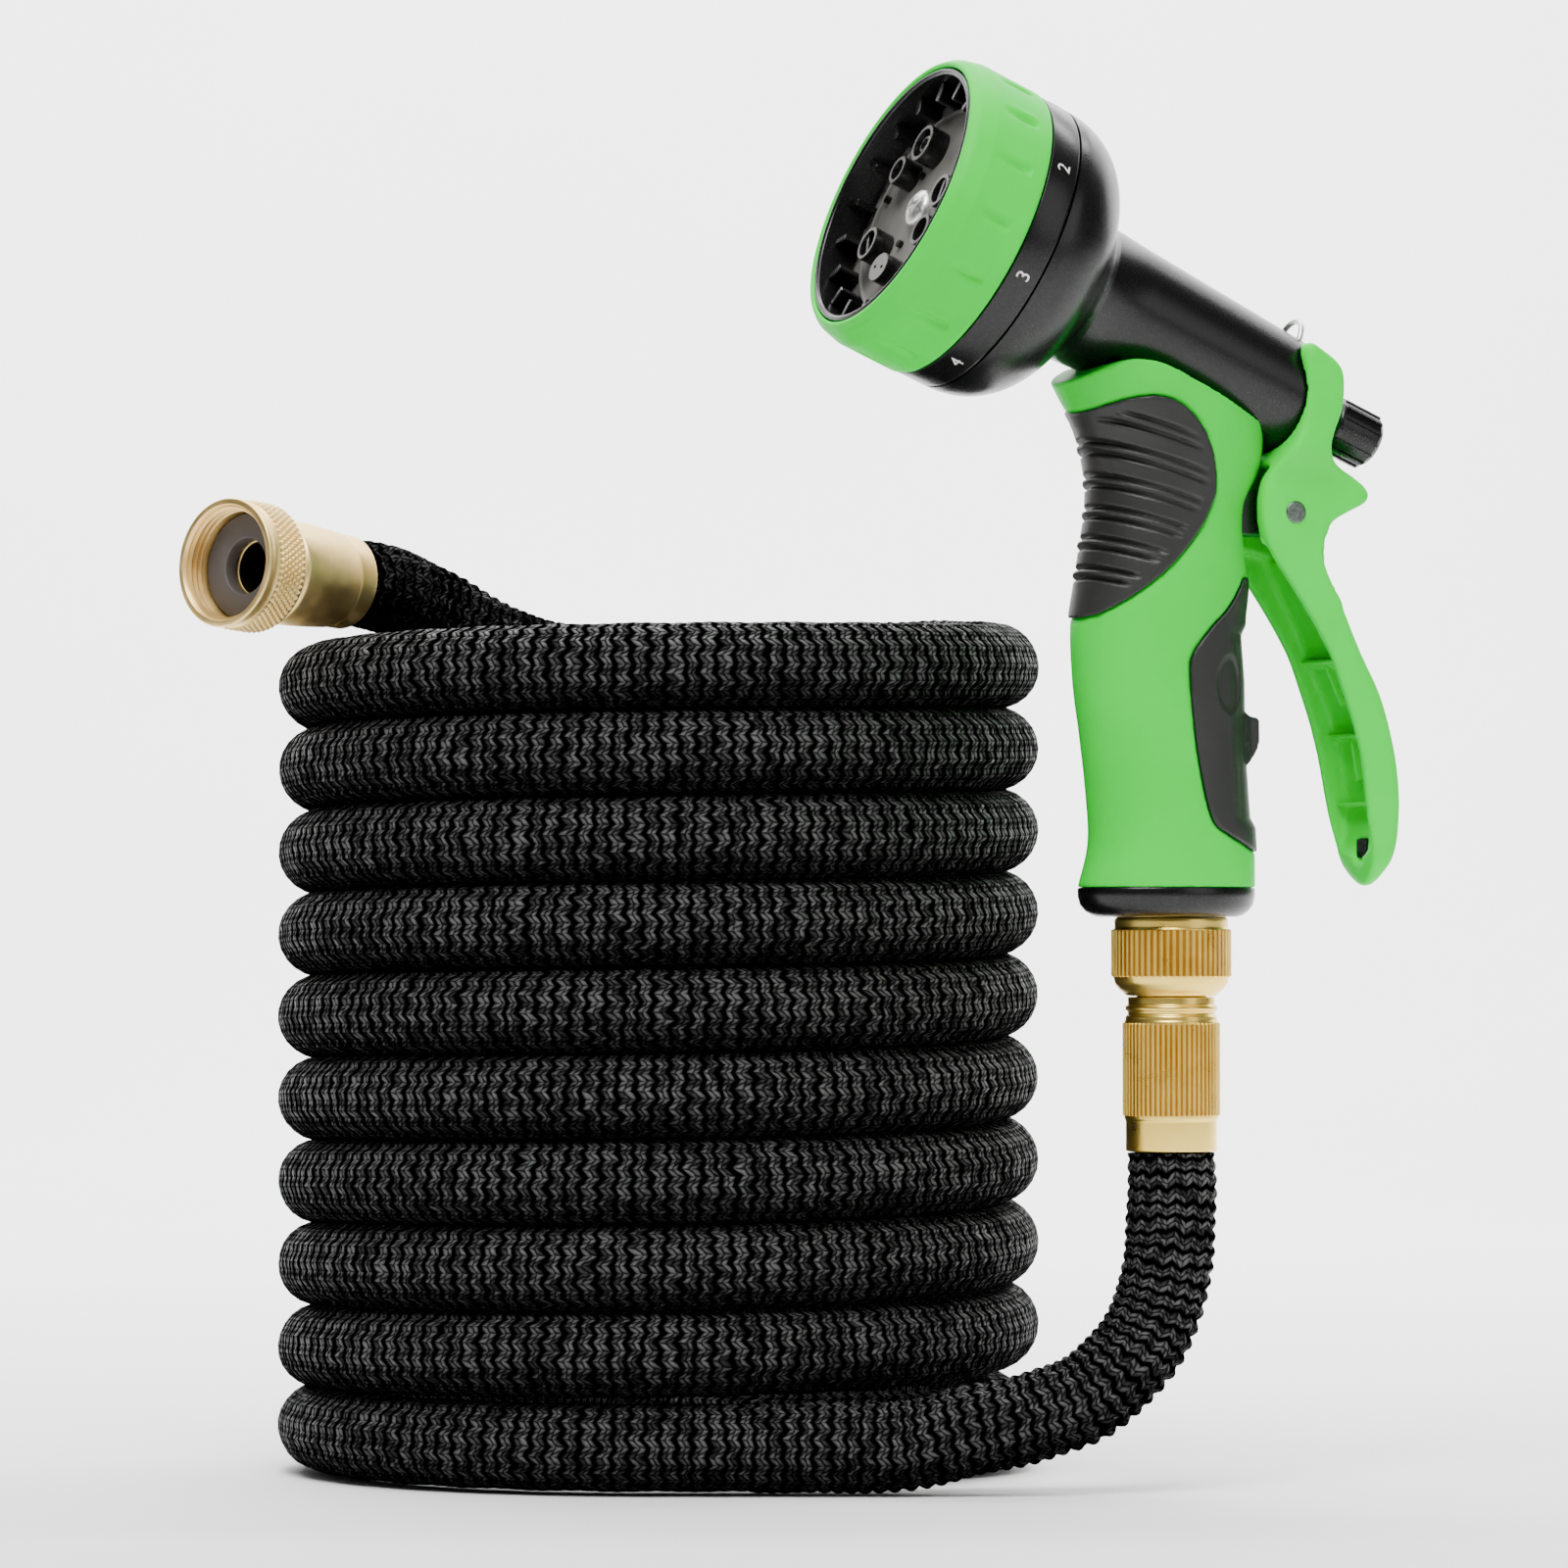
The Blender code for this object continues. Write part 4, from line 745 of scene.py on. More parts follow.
def braided_tube(name, sizes):
    """The hose as a puckered tube, its UV running along it and round it."""
    outlet_stretch, inlet_stretch = 150 * MM, 215 * MM
    ridge_step, coil_step = 0.7 * MM, sizes.row / 2

    def pace(mark, total):
        free = mark < outlet_stretch or mark > total - inlet_stretch
        return ridge_step if free else coil_step

    centres, marks, total = paced(hose_centreline(sizes), pace)
    sides = 24
    count = len(centres)
    tangents = []
    for i in range(count):
        tangents.append((centres[min(i + 1, count - 1)] - centres[max(i - 1, 0)]).normalized())
    bm = bmesh.new()
    uv_layer = bm.loops.layers.uv.new("UVMap")
    darker_inlet_and_painted_under_shade = bm.verts.layers.float.new("darker_inlet_and_painted_under_shade")
    across = tangents[0].orthogonal().normalized()
    rings = []
    for i, (centre, tangent, mark) in enumerate(zip(centres, tangents, marks)):
        across = (across - tangent * across.dot(tangent)).normalized()
        other = tangent.cross(across)
        low = max(0, i - 6)
        high = min(count - 1, i + 6)
        bend = (tangents[high] - tangents[low]) / max(marks[high] - marks[low], 1e-6)
        free = min(1.0, max(0.0, (outlet_stretch - mark) / (20 * MM)))
        free = max(free, min(1.0, max(0.0, (mark - total + inlet_stretch) / (20 * MM))))
        neck = math.exp(-min(mark, total - mark) / (6 * MM))
        pucker = 1.6 * abs(math.cos(math.pi * mark / sizes.pucker)) - 1.0
        row = math.cos(math.tau * mark / sizes.row)
        near_inlet = 0.42 * min(1.0, max(0.0, (mark - total + 120 * MM) / (30 * MM)))
        ring = []
        for side in range(sides):
            angle = math.tau * side / sides
            away = across * math.cos(angle) + other * math.sin(angle)
            outside = max(0.0, -away.dot(bend)) * 30 * MM
            wobble = 0.12 * MM * math.sin(mark / (3.1 * MM) + 3 * angle)
            height = (0.42 * MM + 0.6 * MM * min(outside, 1.0) + 0.9 * MM * near_inlet) * pucker * free
            height += 0.14 * MM * row * (1 - free) + wobble
            reach = sizes.diameter / 2 - 0.35 * MM - 0.5 * MM * neck + height
            offset = away * reach
            if not free:
                offset.z *= 0.978
            vert = bm.verts.new(centre + offset)
            # Painted shade: the braid is darkened on the underside of each turn, where shade falls, and the
            # inlet stretch is made darker.
            under = min(1.0, max(0.0, (0.1 - offset.normalized().z) / 1.1))
            vert[darker_inlet_and_painted_under_shade] = max(near_inlet, 0.6 * under * under * (3 - 2 * under))
            ring.append(vert)
        rings.append(ring)
    for i in range(count - 1):
        for side in range(sides):
            j = (side + 1) % sides
            face = bm.faces.new((rings[i][side], rings[i][j], rings[i + 1][j], rings[i + 1][side]))
            face.smooth = True
            corners = ((i, side), (i, side + 1), (i + 1, side + 1), (i + 1, side))
            for loop, (ring_index, turn) in zip(face.loops, corners):
                loop[uv_layer].uv = (marks[ring_index] / 0.1, turn / sides)
    bm.faces.new(rings[0][::-1])
    bm.faces.new(rings[-1])
    bmesh.ops.recalc_face_normals(bm, faces=bm.faces)
    mesh = bm_to_mesh(name, bm, recalculate=False)
    return link(name, mesh), [tuple(c) for c in centres[::4]] + [tuple(centres[-1])], total


class GARDENHOSE_OT_hose(bpy.types.Operator):
    """Build the braided hose, wound in its coil, with both free ends"""
    bl_idname = "garden_hose.hose"
    bl_label = "Braided hose"

    def execute(self, context):
        sizes = context.scene.garden_hose
        hose, path, total = braided_tube("braided_hose", sizes)
        hose.data.materials.append(finish("braid"))
        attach(hose, "hose")
        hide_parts("hose_coil", "hose_crossover", "hose_outlet_end", "hose_inlet_end")
        return {"FINISHED"}


# Brass

def socket_threads(crest, root, top, bottom, pitch):
    """Outline of the thread rings inside a socket, from its mouth down."""
    outline = []
    height = top
    while height - pitch > bottom:
        outline += [(root, height), (root, height - pitch * 0.25), (crest, height - pitch * 0.5),
                    (crest, height - pitch * 0.62), (root, height - pitch * 0.87)]
        height -= pitch
    return outline


class GARDENHOSE_OT_inlet(bpy.types.Operator):
    """Build the pale brass inlet coupling with its knurled nut and washer"""
    bl_idname = "garden_hose.inlet"
    bl_label = "Inlet coupling"

    def execute(self, context):
        sizes = context.scene.garden_brass
        tail, body, foot, shoulder = 11.9 * MM, 13.2 * MM, 9 * MM, 35.9 * MM
        outline = rounded([(0, foot + 2 * MM), (10.6 * MM, foot + 2 * MM), (11.0 * MM, foot),
                           (tail, foot + 0.2 * MM), (tail, foot + 5.4 * MM),
                           (tail - 0.35 * MM, foot + 5.9 * MM), (tail + 0.3 * MM, foot + 6.4 * MM),
                           (body - 0.5 * MM, foot + 12 * MM), (body, foot + 19 * MM),
                           (body, shoulder - 1.2 * MM), (body - 1.0 * MM, shoulder - 0.1 * MM),
                           (9.6 * MM, shoulder - 0.1 * MM), (9.6 * MM, shoulder + 4.2 * MM),
                           (6.6 * MM, shoulder + 4.2 * MM), (6.6 * MM, foot + 5 * MM), (0, foot + 5 * MM)],
                          0.5 * MM)
        ferrule = link("inlet_ferrule_body", turned("inlet_ferrule_body", outline))
        put(ferrule, INLET, "pale_brass", "hose", ["inlet_ferrule"])
        # A dark brass liner inside the ferrule's bore, as painted shade in the bore.
        bore = [(0, foot + 5.05 * MM), (6.55 * MM, foot + 5.05 * MM), (6.55 * MM, shoulder + 4.25 * MM),
                (6.2 * MM, shoulder + 4.25 * MM), (6.2 * MM, foot + 5.4 * MM), (0, foot + 5.4 * MM)]
        put(link("inlet_bore", turned("inlet_bore", bore, 64)), INLET, "bore_brass", "hose")
        start, floor, face = shoulder + 0.3 * MM, 40.2 * MM, 52 * MM
        outer, lip = 16.6 * MM, 15.6 * MM
        knurl, band = 39.2 * MM, 8.8 * MM
        outside = rounded([(9.9 * MM, floor), (9.9 * MM, start), (body - 0.3 * MM, start),
                           (outer - 1.5 * MM, knurl - 1.2 * MM), (outer - 0.7 * MM, knurl),
                           (outer - 0.7 * MM, knurl + band), (lip, knurl + band + 0.8 * MM),
                           (lip, face - 2.2 * MM), (lip + 0.55 * MM, face - 1.5 * MM),
                           (lip + 0.55 * MM, face - 0.1 * MM), (lip - 0.5 * MM, face), (14.6 * MM, face),
                           (14.1 * MM, face - 0.9 * MM)], 0.4 * MM)
        inside = socket_threads(13.5 * MM, 14.4 * MM, face - 1.2 * MM, floor + 4.4 * MM, 1.7 * MM)
        inside += [(13.8 * MM, floor + 4.2 * MM), (13.8 * MM, floor)]
        nut_mesh = turned("nut", outside + inside, 128, closed=True)
        points = ring_of("knurl", diamond("knurl", 1.55 * MM, 2.3 * MM, 0.62 * MM), "pale_brass",
                         Count=sizes.knurls, Rows=sizes.knurl_rows, Radius=outer - 0.74 * MM,
                         Row_Step=1.15 * MM, Stagger=0.5)
        points.transform(Matrix.Translation((0, 0, knurl + 0.95 * MM)))
        nut = joined("inlet_nut_body", [nut_mesh, points])
        put(nut, INLET, "pale_brass", "inlet_coupling", ["inlet_nut"])
        seat = floor + 0.3 * MM
        ring = rounded([(7.0 * MM, seat + 2 * MM), (7.0 * MM, seat), (13.3 * MM, seat),
                        (13.3 * MM, seat + 4 * MM), (7.0 * MM, seat + 4 * MM), (7.0 * MM, seat + 2 * MM)],
                       0.5 * MM)
        washer = link("inlet_washer_ring", turned("inlet_washer_ring", ring[:-1], 96, closed=True))
        put(washer, INLET, "washer", "inlet_coupling", ["inlet_washer"])
        return {"FINISHED"}


class GARDENHOSE_OT_outlet(bpy.types.Operator):
    """Build the golden brass outlet ferrule and the fluted nut"""
    bl_idname = "garden_hose.outlet"
    bl_label = "Outlet fittings"

    def execute(self, context):
        sizes = context.scene.garden_brass
        band, sleeve, neck = 8.2 * MM, 31.6 * MM, 38 * MM
        outline = rounded([(0, 0.4 * MM), (10.4 * MM, 0.4 * MM), (10.6 * MM, 0), (11.15 * MM, 0.3 * MM),
                           (11.15 * MM, band - 0.7 * MM), (11.5 * MM, band), (11.5 * MM, sleeve),
                           (11.2 * MM, sleeve + 0.6 * MM), (11.2 * MM, sleeve + 1.4 * MM),
                           (10.6 * MM, sleeve + 1.9 * MM), (10.6 * MM, sleeve + 2.5 * MM),
                           (11.2 * MM, sleeve + 3.0 * MM), (11.2 * MM, sleeve + 3.8 * MM),
                           (10.6 * MM, sleeve + 4.3 * MM), (10.6 * MM, neck - 0.3 * MM),
                           (8.4 * MM, neck - 0.3 * MM), (8.4 * MM, neck + 9 * MM), (0, neck + 9 * MM)],
                          0.3 * MM)
        core = turned("ferrule", outline, 128)
        rib = block("rib", (1.0 * MM, 0.7 * MM, 22.6 * MM), 0.2 * MM)
        ribs = ring_of("sleeve_ribs", rib, "golden_brass", Count=sizes.flutes, Radius=11.4 * MM)
        ribs.transform(Matrix.Translation((0, 0, band + 11.9 * MM)))
        put(joined("outlet_ferrule_body", [core, ribs]), OUTLET, "golden_brass", "hose", ["outlet_ferrule"])
        # A darker brass band beneath the ribs, as painted shade in the grooves between them.
        ground = [(11.3 * MM, band + 0.7 * MM), (11.53 * MM, band + 0.7 * MM),
                  (11.53 * MM, sleeve - 0.6 * MM), (11.3 * MM, sleeve - 0.6 * MM)]
        grooves = link("ferrule_grooves", turned("ferrule_grooves", ground, 128, closed=True))
        put(grooves, OUTLET, "groove_brass", "hose")
        top = neck + 19.2 * MM
        outline = rounded([(8.8 * MM, neck), (11.1 * MM, neck), (11.5 * MM, neck + 0.6 * MM),
                           (12.6 * MM, neck + 1.5 * MM), (13.8 * MM, neck + 3.0 * MM),
                           (14.1 * MM, neck + 4.6 * MM), (14.1 * MM, top - 3.0 * MM),
                           (13.8 * MM, top - 2.5 * MM), (13.9 * MM, top - 0.7 * MM), (13.4 * MM, top),
                           (8.8 * MM, top), (8.8 * MM, neck)], 0.5 * MM)
        shell = turned("nut", outline[:-1], 128, closed=True)
        rib = block("rib", (1.1 * MM, 0.85 * MM, 11.6 * MM), 0.25 * MM)
        ribs = ring_of("nut_ribs", rib, "golden_brass", Count=sizes.flutes, Radius=14.1 * MM)
        ribs.transform(Matrix.Translation((0, 0, neck + 10.4 * MM)))
        put(joined("outlet_nut_body", [shell, ribs]), OUTLET, "golden_brass", "outlet_coupling",
            ["outlet_nut"])
        # A darker brass band beneath the ribs, as painted shade in the grooves between them.
        ground = [(13.9 * MM, neck + 4.9 * MM), (14.14 * MM, neck + 4.9 * MM), (14.14 * MM, top - 3.2 * MM),
                  (13.9 * MM, top - 3.2 * MM)]
        grooves = link("nut_grooves", turned("nut_grooves", ground, 128, closed=True))
        put(grooves, OUTLET, "groove_brass", "outlet_coupling")
        return {"FINISHED"}


# Spray gun

def handle_rings(grow=0.0):
    """Rings of the handle, smooth between its sections, in metres."""
    sides = 72
    rings = []
    columns = []
    for values in zip(*HANDLE_SECTIONS):
        points = curve_through([(float(i), value, 0) for i, value in enumerate(values)], 5)
        columns.append([point.y for point in points])
    for height, forwards, tilt, depth, width in zip(*columns):
        slope = math.radians(tilt)
        ring = []
        for i in range(sides):
            angle = math.tau * i / sides
            along = (depth * MM + grow) * math.cos(angle)
            across = (width * MM + grow) * math.sin(angle)
            ring.append((forwards * MM + along * math.cos(slope), across, height * MM
                         + along * math.sin(slope)))
        rings.append(ring)
    return rings


def pad_outline(outline):
    """A pad's outline, smooth where it runs over the handle."""
    fixed = [Vector(point) for point in outline]
    curved = curve_through(fixed[1:-1], 6)
    return [tuple(point) for point in [fixed[0]] + list(curved) + [fixed[-1]]]


def distance_to(line, x, z):
    """Distance from a point to a polyline, in the outline's own units."""
    best = 1e9
    for (ax, az), (bx, bz) in zip(line, line[1:]):
        dx, dz = bx - ax, bz - az
        t = max(0.0, min(1.0, ((x - ax) * dx + (z - az) * dz) / (dx * dx + dz * dz)))
        best = min(best, math.hypot(x - ax - t * dx, z - az - t * dz))
    return best


def barrel_outline():
    """Barrel and domed head seat, along the barrel's axis."""
    back, front, seam = -34.9 * MM, 27 * MM, 52.1 * MM
    rise, start, end = seam - front, 17.8 * MM, 37.2 * MM
    dome = ((0.0, 0.0), (0.10, 0.08), (0.19, 0.24), (0.30, 0.52), (0.46, 0.76), (0.66, 0.92), (0.86, 0.99),
            (1.0, 1.0))
    bell = [(start + (end - start) * out, front + rise * along) for along, out in dome]
    bell = [(p.x, p.y) for p in curve_through([(x, y, 0) for x, y in bell], 5)]
    mouth = rounded([(0, back + 1.5 * MM), (11.2 * MM, back + 1.5 * MM), (11.2 * MM, back), (14.5 * MM, back),
                     (14.7 * MM, back + 4 * MM), (17.0 * MM, 16 * MM)], 0.8 * MM)
    return mouth + bell + [(end - 0.5 * MM, seam), (0, seam)]


class GARDENHOSE_OT_body(bpy.types.Operator):
    """Build the gun's black body: barrel, domed seat, base collar and trigger lug"""
    bl_idname = "garden_hose.body"
    bl_label = "Gun body"

    def execute(self, context):
        barrel = link("barrel", turned("barrel", barrel_outline(), 128))
        put(barrel, BARREL, "black_plastic", "hose", ["gun_body"], angle=50)
        full = handle_rings(0.0)[0]
        base, foot = full[0][2], -0.28 * MM
        rows = [(0.45, 0.0), (0.78, 0.0), (0.84, 0.05), (0.92, 0.2), (0.975, 0.42), (0.998, 0.7), (1.0, 0.93),
                (0.99, 0.985), (0.95, 1.0), (0.95, 1.08), (0.6, 1.08)]
        rings = [[(x * scale, y * scale, foot + (base - foot) * up) for x, y, z in full] for scale,
                 up in rows]
        collar = link("base_collar", lofted("base_collar", rings))
        put(collar, GUN, "black_plastic", "hose", angle=50)
        neck = link("neck_core", lofted("neck", handle_rings(-4.2 * MM)))
        boolean(neck, side_plate("band", [(-21, 108), (30, 108), (30, 129), (20, 134.5), (8, 133),
                                          (-21, 121)], 40 * MM), "INTERSECT")
        soften(neck, 0.9 * MM, 2)
        put(neck, GUN, "black_plastic", "hose", shade=False)
        half, reach = 7 * MM, 5.2 * MM
        outline = [(-14 * MM, reach), (-14 * MM, -reach)]
        for step in range(17):
            angle = math.radians(270 - 11.25 * step)
            outline.append((PIVOT.x + reach * math.cos(angle), reach * math.sin(angle)))
        rings = [[(x, side * half, PIVOT.z + z) for x, z in outline] for side in (-1, 1)]
        put(link("trigger_lug", lofted("trigger_lug", rings)), GUN, "black_plastic", "hose")
        return {"FINISHED"}


class GARDENHOSE_OT_grip(bpy.types.Operator):
    """Build the green rubber grip with its two inlaid charcoal pads"""
    bl_idname = "garden_hose.grip"
    bl_label = "Grip"

    def execute(self, context):
        sleeve = link("grip_sleeve_rubber", lofted("grip", handle_rings()))
        edge = [tuple(p) for p in curve_through([Vector(p) for p in SADDLE_EDGE], 5)]
        above = edge + [(60, 121.0), (60, 190), (-60, 190), (-60, 113.6)]
        boolean(sleeve, side_plate("above", above, 40 * MM), "DIFFERENCE")
        fingers, palm = pad_outline(FINGER_PAD_OUTLINE), pad_outline(PALM_PAD_OUTLINE)
        core = lofted("core", handle_rings(-1.3 * MM))
        for outline in (fingers, palm):
            pocket = link("pocket", side_plate("pocket", outline, 40 * MM))
            boolean(pocket, core.copy(), "DIFFERENCE")
            mesh = pocket.data
            bpy.data.objects.remove(pocket, do_unlink=True)
            boolean(sleeve, mesh, "DIFFERENCE")
        soften(sleeve, 0.65 * MM, 3)
        put(sleeve, GUN, "green_rubber", "hose", ["grip_sleeve"], shade=False)
        for name, outline, proud in (("finger_pad", fingers, 0.7 * MM), ("palm_pad", palm, 0.5 * MM)):
            pad = link(name + "_rubber", lofted(name, handle_rings(proud)))
            boolean(pad, side_plate("shape", inset_outline(outline, 0.35), 40 * MM), "INTERSECT")
            boolean(pad, lofted("inside", handle_rings(-2.4 * MM)), "DIFFERENCE")
            boolean(pad, side_plate("above", above, 40 * MM), "DIFFERENCE")
            if name == "palm_pad":
                boolean(pad, side_plate("catch", CATCH_OUTLINE, 7 * MM), "UNION")
            soften(pad, 0.45 * MM, 3)
            if name == "finger_pad":
                press_grooves(pad.data)
            else:
                hollow_palm(pad.data)
            put(pad, GUN, "pad_rubber", "hose", [name], shade=False)
        bpy.data.meshes.remove(core)
        return {"FINISHED"}


def press_grooves(mesh):
    """Press six pairs of slanting grooves into the finger pad, each pair with a rib between."""
    slope = math.tan(math.radians(-17))
    lowest, spacing = 79.6, 7.7
    edge = pad_outline(FINGER_PAD_OUTLINE)
    for vert in mesh.vertices:
        x, y, z = (c / MM for c in vert.co)
        inside = distance_to(edge, x, z)
        fade = min(1.0, max(0.0, (inside - 2.6) / 2.5))
        press = 0.0
        for row in range(6):
            middle = lowest + row * spacing - slope * (x - 12)
            for side in (-1.25, 1.25):
                away = abs(z - middle - side) / 0.85
                if away < 1:
                    press = max(press, (1 - away * away) ** 1.5)
            between = abs(z - middle) / 0.9
            if between < 1:
                press -= 0.25 * (1 - between * between)
        depth = (1.0 + 0.7 * max(0.0, min(1.0, (x - 12) / 8))) * press * fade
        normal = Vector((x - 2, y * 1.4, 0)).normalized()
        if Vector((x - 2, y)).length > 12:
            vert.co -= normal * depth * MM


def hollow_palm(mesh):
    """Set the palm pad's back in above and below the catch, and press an oval into each side."""
    for vert in mesh.vertices:
        x, y, z = (c / MM for c in vert.co)
        rise = min(1.0, max(0.0, (z - 21.5) / 2.5)) * min(1.0, max(0.0, (71.0 - z) / 2.5))
        catch = min(1.0, max(0.0, (abs(z - 43.3) - 5.4) / 1.2)) if abs(y) < 8 else 1.0
        back = min(1.0, max(0.0, (-9.0 - x) / 5.0))
        vert.co.x += 1.3 * MM * rise * catch * back
        oval = ((x + 9.3) / 5.2) ** 2 + ((z - 56.3) / 7.4) ** 2
        if oval < 1 and abs(y) > 6:
            vert.co.y -= math.copysign(0.9 * MM * min(1.0, (1 - oval) * 3), y)


class GARDENHOSE_OT_dial(bpy.types.Operator):
    """Build the spray dial: cup, fins, outlets, rubber ring, screw and numbers"""
    bl_idname = "garden_hose.dial"
    bl_label = "Spray dial"

    def execute(self, context):
        sizes = context.scene.garden_gun
        seam, ring_start, face = 52.4 * MM, 60.5 * MM, 82.2 * MM
        floor = face - 9.5 * MM
        cup, wall = 33.6 * MM, 32.0 * MM
        outline = rounded([(0, seam), (36.9 * MM, seam), (37.2 * MM, seam + 0.4 * MM),
                           (37.2 * MM, ring_start - 0.5 * MM), (cup, ring_start - 0.3 * MM),
                           (cup, face - 0.2 * MM), (cup - 0.7 * MM, face + 0.2 * MM), (wall, face - 0.3 * MM),
                           (wall - 0.5 * MM, floor), (0, floor)], 0.35 * MM)
        meshes = [turned("cup", outline, 128)]
        fin = block("fin", (4.8 * MM, 1.7 * MM, 7.0 * MM), 0.25 * MM)
        fins = ring_of("fins", fin, "black_plastic", Count=sizes.fins, Radius=wall - 2.7 * MM, Start=0.1)
        fins.transform(Matrix.Translation((0, 0, floor + 3.0 * MM)))
        meshes.append(fins)
        put(joined("spray_dial_cup", meshes), BARREL, "black_plastic", "dial", ["spray_dial"])
        # The face's floor and step are grey as painted light on the black plastic.
        disc = [(0, floor - 0.2 * MM), (wall - 0.7 * MM, floor - 0.2 * MM),
                (wall - 0.7 * MM, floor + 0.05 * MM), (0, floor + 0.05 * MM)]
        meshes = [turned("disc", disc, 96)]
        step_inside, step_outside = wall - 6.2 * MM, wall - 5.2 * MM
        outline = rounded([(step_inside, floor - 0.5 * MM), (step_inside, floor + 1.1 * MM),
                           (step_outside, floor + 1.1 * MM), (step_outside, floor - 0.5 * MM)], 0.2 * MM)
        meshes.append(turned("step", outline, 96, closed=True))
        outlets, rims = spray_outlets(floor)
        put(joined("spray_dial_face", meshes + rims), BARREL, "face_plastic", "dial")
        put(joined("spray_dial_outlets", outlets), BARREL, "black_plastic", "dial")
        outline = rounded([(36.6 * MM, seam + 0.25 * MM), (37.28 * MM, seam + 0.5 * MM),
                           (37.28 * MM, ring_start - 0.35 * MM), (36.6 * MM, ring_start - 0.2 * MM)],
                          0.15 * MM)
        band = link("dial_band", turned("dial_band", outline, 128, closed=True))
        put(band, BARREL, "black_plastic", "dial")
        rubber_ring(sizes, ring_start, face)
        dial_screw(floor)
        dial_numbers(sizes, seam, ring_start)
        return {"FINISHED"}


def spray_outlets(floor):
    """Raised outlets round the dial's face, and pale rims on their tops as painted light: rings, a nozzle,
    slots and a twin jet.
    """
    circle, top = 17.2 * MM, 5.0 * MM
    meshes, rims = [], []
    plan = ((17, 4.8, "nozzle"), (54, 3.7, "ring"), (124, 4.4, "fan"), (176, 4.7, "twin"), (240, 4.1, "ring"),
            (275, 4.3, "fan"))
    for angle, radius, kind in plan:
        away = math.radians(angle)
        place = Matrix.Translation((circle * math.cos(away), circle * math.sin(away), floor))
        place = place @ Matrix.Rotation(away, 4, "Z")
        outer = radius * MM
        hole = outer - 1.1 * MM
        tube = [(0, -0.5 * MM), (outer, -0.5 * MM), (outer, top), (hole, top), (hole, 0.8 * MM),
                (0, 0.8 * MM)]
        if kind == "twin":
            tube = [(0, -0.5 * MM), (outer, -0.5 * MM), (outer, top), (0, top)]
        body = link("outlet", turned("outlet", rounded(tube, 0.25 * MM, 2), 48))
        if kind == "twin":
            for side in (-1, 1):
                boolean(body, bar("jet", 0.55 * MM, 1.0 * MM, 2 * top, 16, (0, side * 2.0 * MM)),
                        "DIFFERENCE")
        if kind == "nozzle":
            inner = [(0, 0.4 * MM), (2.6 * MM, 0.4 * MM), (2.3 * MM, 4.2 * MM), (1.5 * MM, 4.4 * MM),
                     (1.3 * MM, 1.4 * MM), (0, 1.4 * MM)]
            boolean(body, turned("inner", rounded(inner, 0.15 * MM, 2), 40), "UNION")
        if kind == "fan":
            boolean(body, block("blade", (1.0 * MM, 2 * hole + 0.6 * MM, 4.4 * MM), 0.0, 1,
                                (0.4 * MM, 0, 2.4 * MM)), "UNION")
        slim = Matrix.Diagonal((0.8 if kind == "twin" else 1.0, 1, 1, 1))
        body.data.transform(place @ slim)
        meshes.append(body.data)
        # A pale rim on each outlet's top, as painted light where the light falls.
        inside = 0 if kind == "twin" else hole + 0.1 * MM
        rim = [(inside, top - 0.1 * MM), (outer - 0.25 * MM, top - 0.1 * MM),
               (outer - 0.25 * MM, top + 0.06 * MM), (inside, top + 0.06 * MM)]
        rim = link("rim", turned("rim", rim, 48, closed=inside > 0))
        if kind == "twin":
            for side in (-1, 1):
                boolean(rim, bar("jet", 0.7 * MM, top - MM, 2 * top, 16, (0, side * 2.0 * MM)), "DIFFERENCE")
        rim.data.transform(place @ slim)
        rims.append(rim.data)
        bpy.data.objects.remove(rim, do_unlink=True)
        bpy.data.objects.remove(body, do_unlink=True)
    for angle, radius in ((40, 13.0), (78, 24), (150, 10), (212, 24), (228, 10), (268, 9.4), (310, 24)):
        away = math.radians(angle)
        meshes.append(bar("pip", 1.0 * MM, floor - 0.5 * MM, floor + 1.2 * MM, 16,
                          (radius * MM * math.cos(away), radius * MM * math.sin(away))))
    return meshes, rims


def rubber_ring(sizes, ring_start, face):
    """Green rubber ring with short soft grooves pressed into it along the barrel."""
    outer, inner = 37.6 * MM, 33.9 * MM
    side = [(outer, ring_start + 1.2 * MM + i * 0.6 * MM) for i in range(1, 25)]
    outline = rounded([(inner, ring_start), (outer - 0.3 * MM, ring_start), (outer, ring_start + 1.2 * MM)]
                      + side + [(outer - 1.1 * MM, face - 1.6 * MM), (outer - 2.6 * MM, face + 0.3 * MM),
                                (inner, face + 0.1 * MM), (inner, ring_start)], 0.6 * MM)
    mesh = turned("dial_grip", outline[:-1], 480, closed=True)
    middle, half_length = ring_start + 9.4 * MM, 5.4 * MM
    for vert in mesh.vertices:
        radius = math.hypot(vert.co.x, vert.co.y)
        if radius < inner + 1.5 * MM:
            continue
        share = math.atan2(vert.co.y, vert.co.x) / math.tau * sizes.grooves + 0.3
        away = (share - round(share)) / sizes.grooves * math.tau * outer
        along = (vert.co.z - middle) / half_length
        window = max(0.0, 1 - abs(along) ** 3) * (0.55 - 0.45 * max(-1.0, min(1.0, along)))
        press = 1.6 * math.exp(-(away / (0.95 * MM)) ** 2) - 0.3 * math.exp(-((away - 2.3 * MM) / MM) ** 2)
        scale = 1 - press * window * MM / radius
        vert.co.x *= scale
        vert.co.y *= scale
    ring = link("dial_grip_rubber", mesh)
    put(ring, BARREL, "green_rubber", "dial", ["dial_grip"], angle=60)


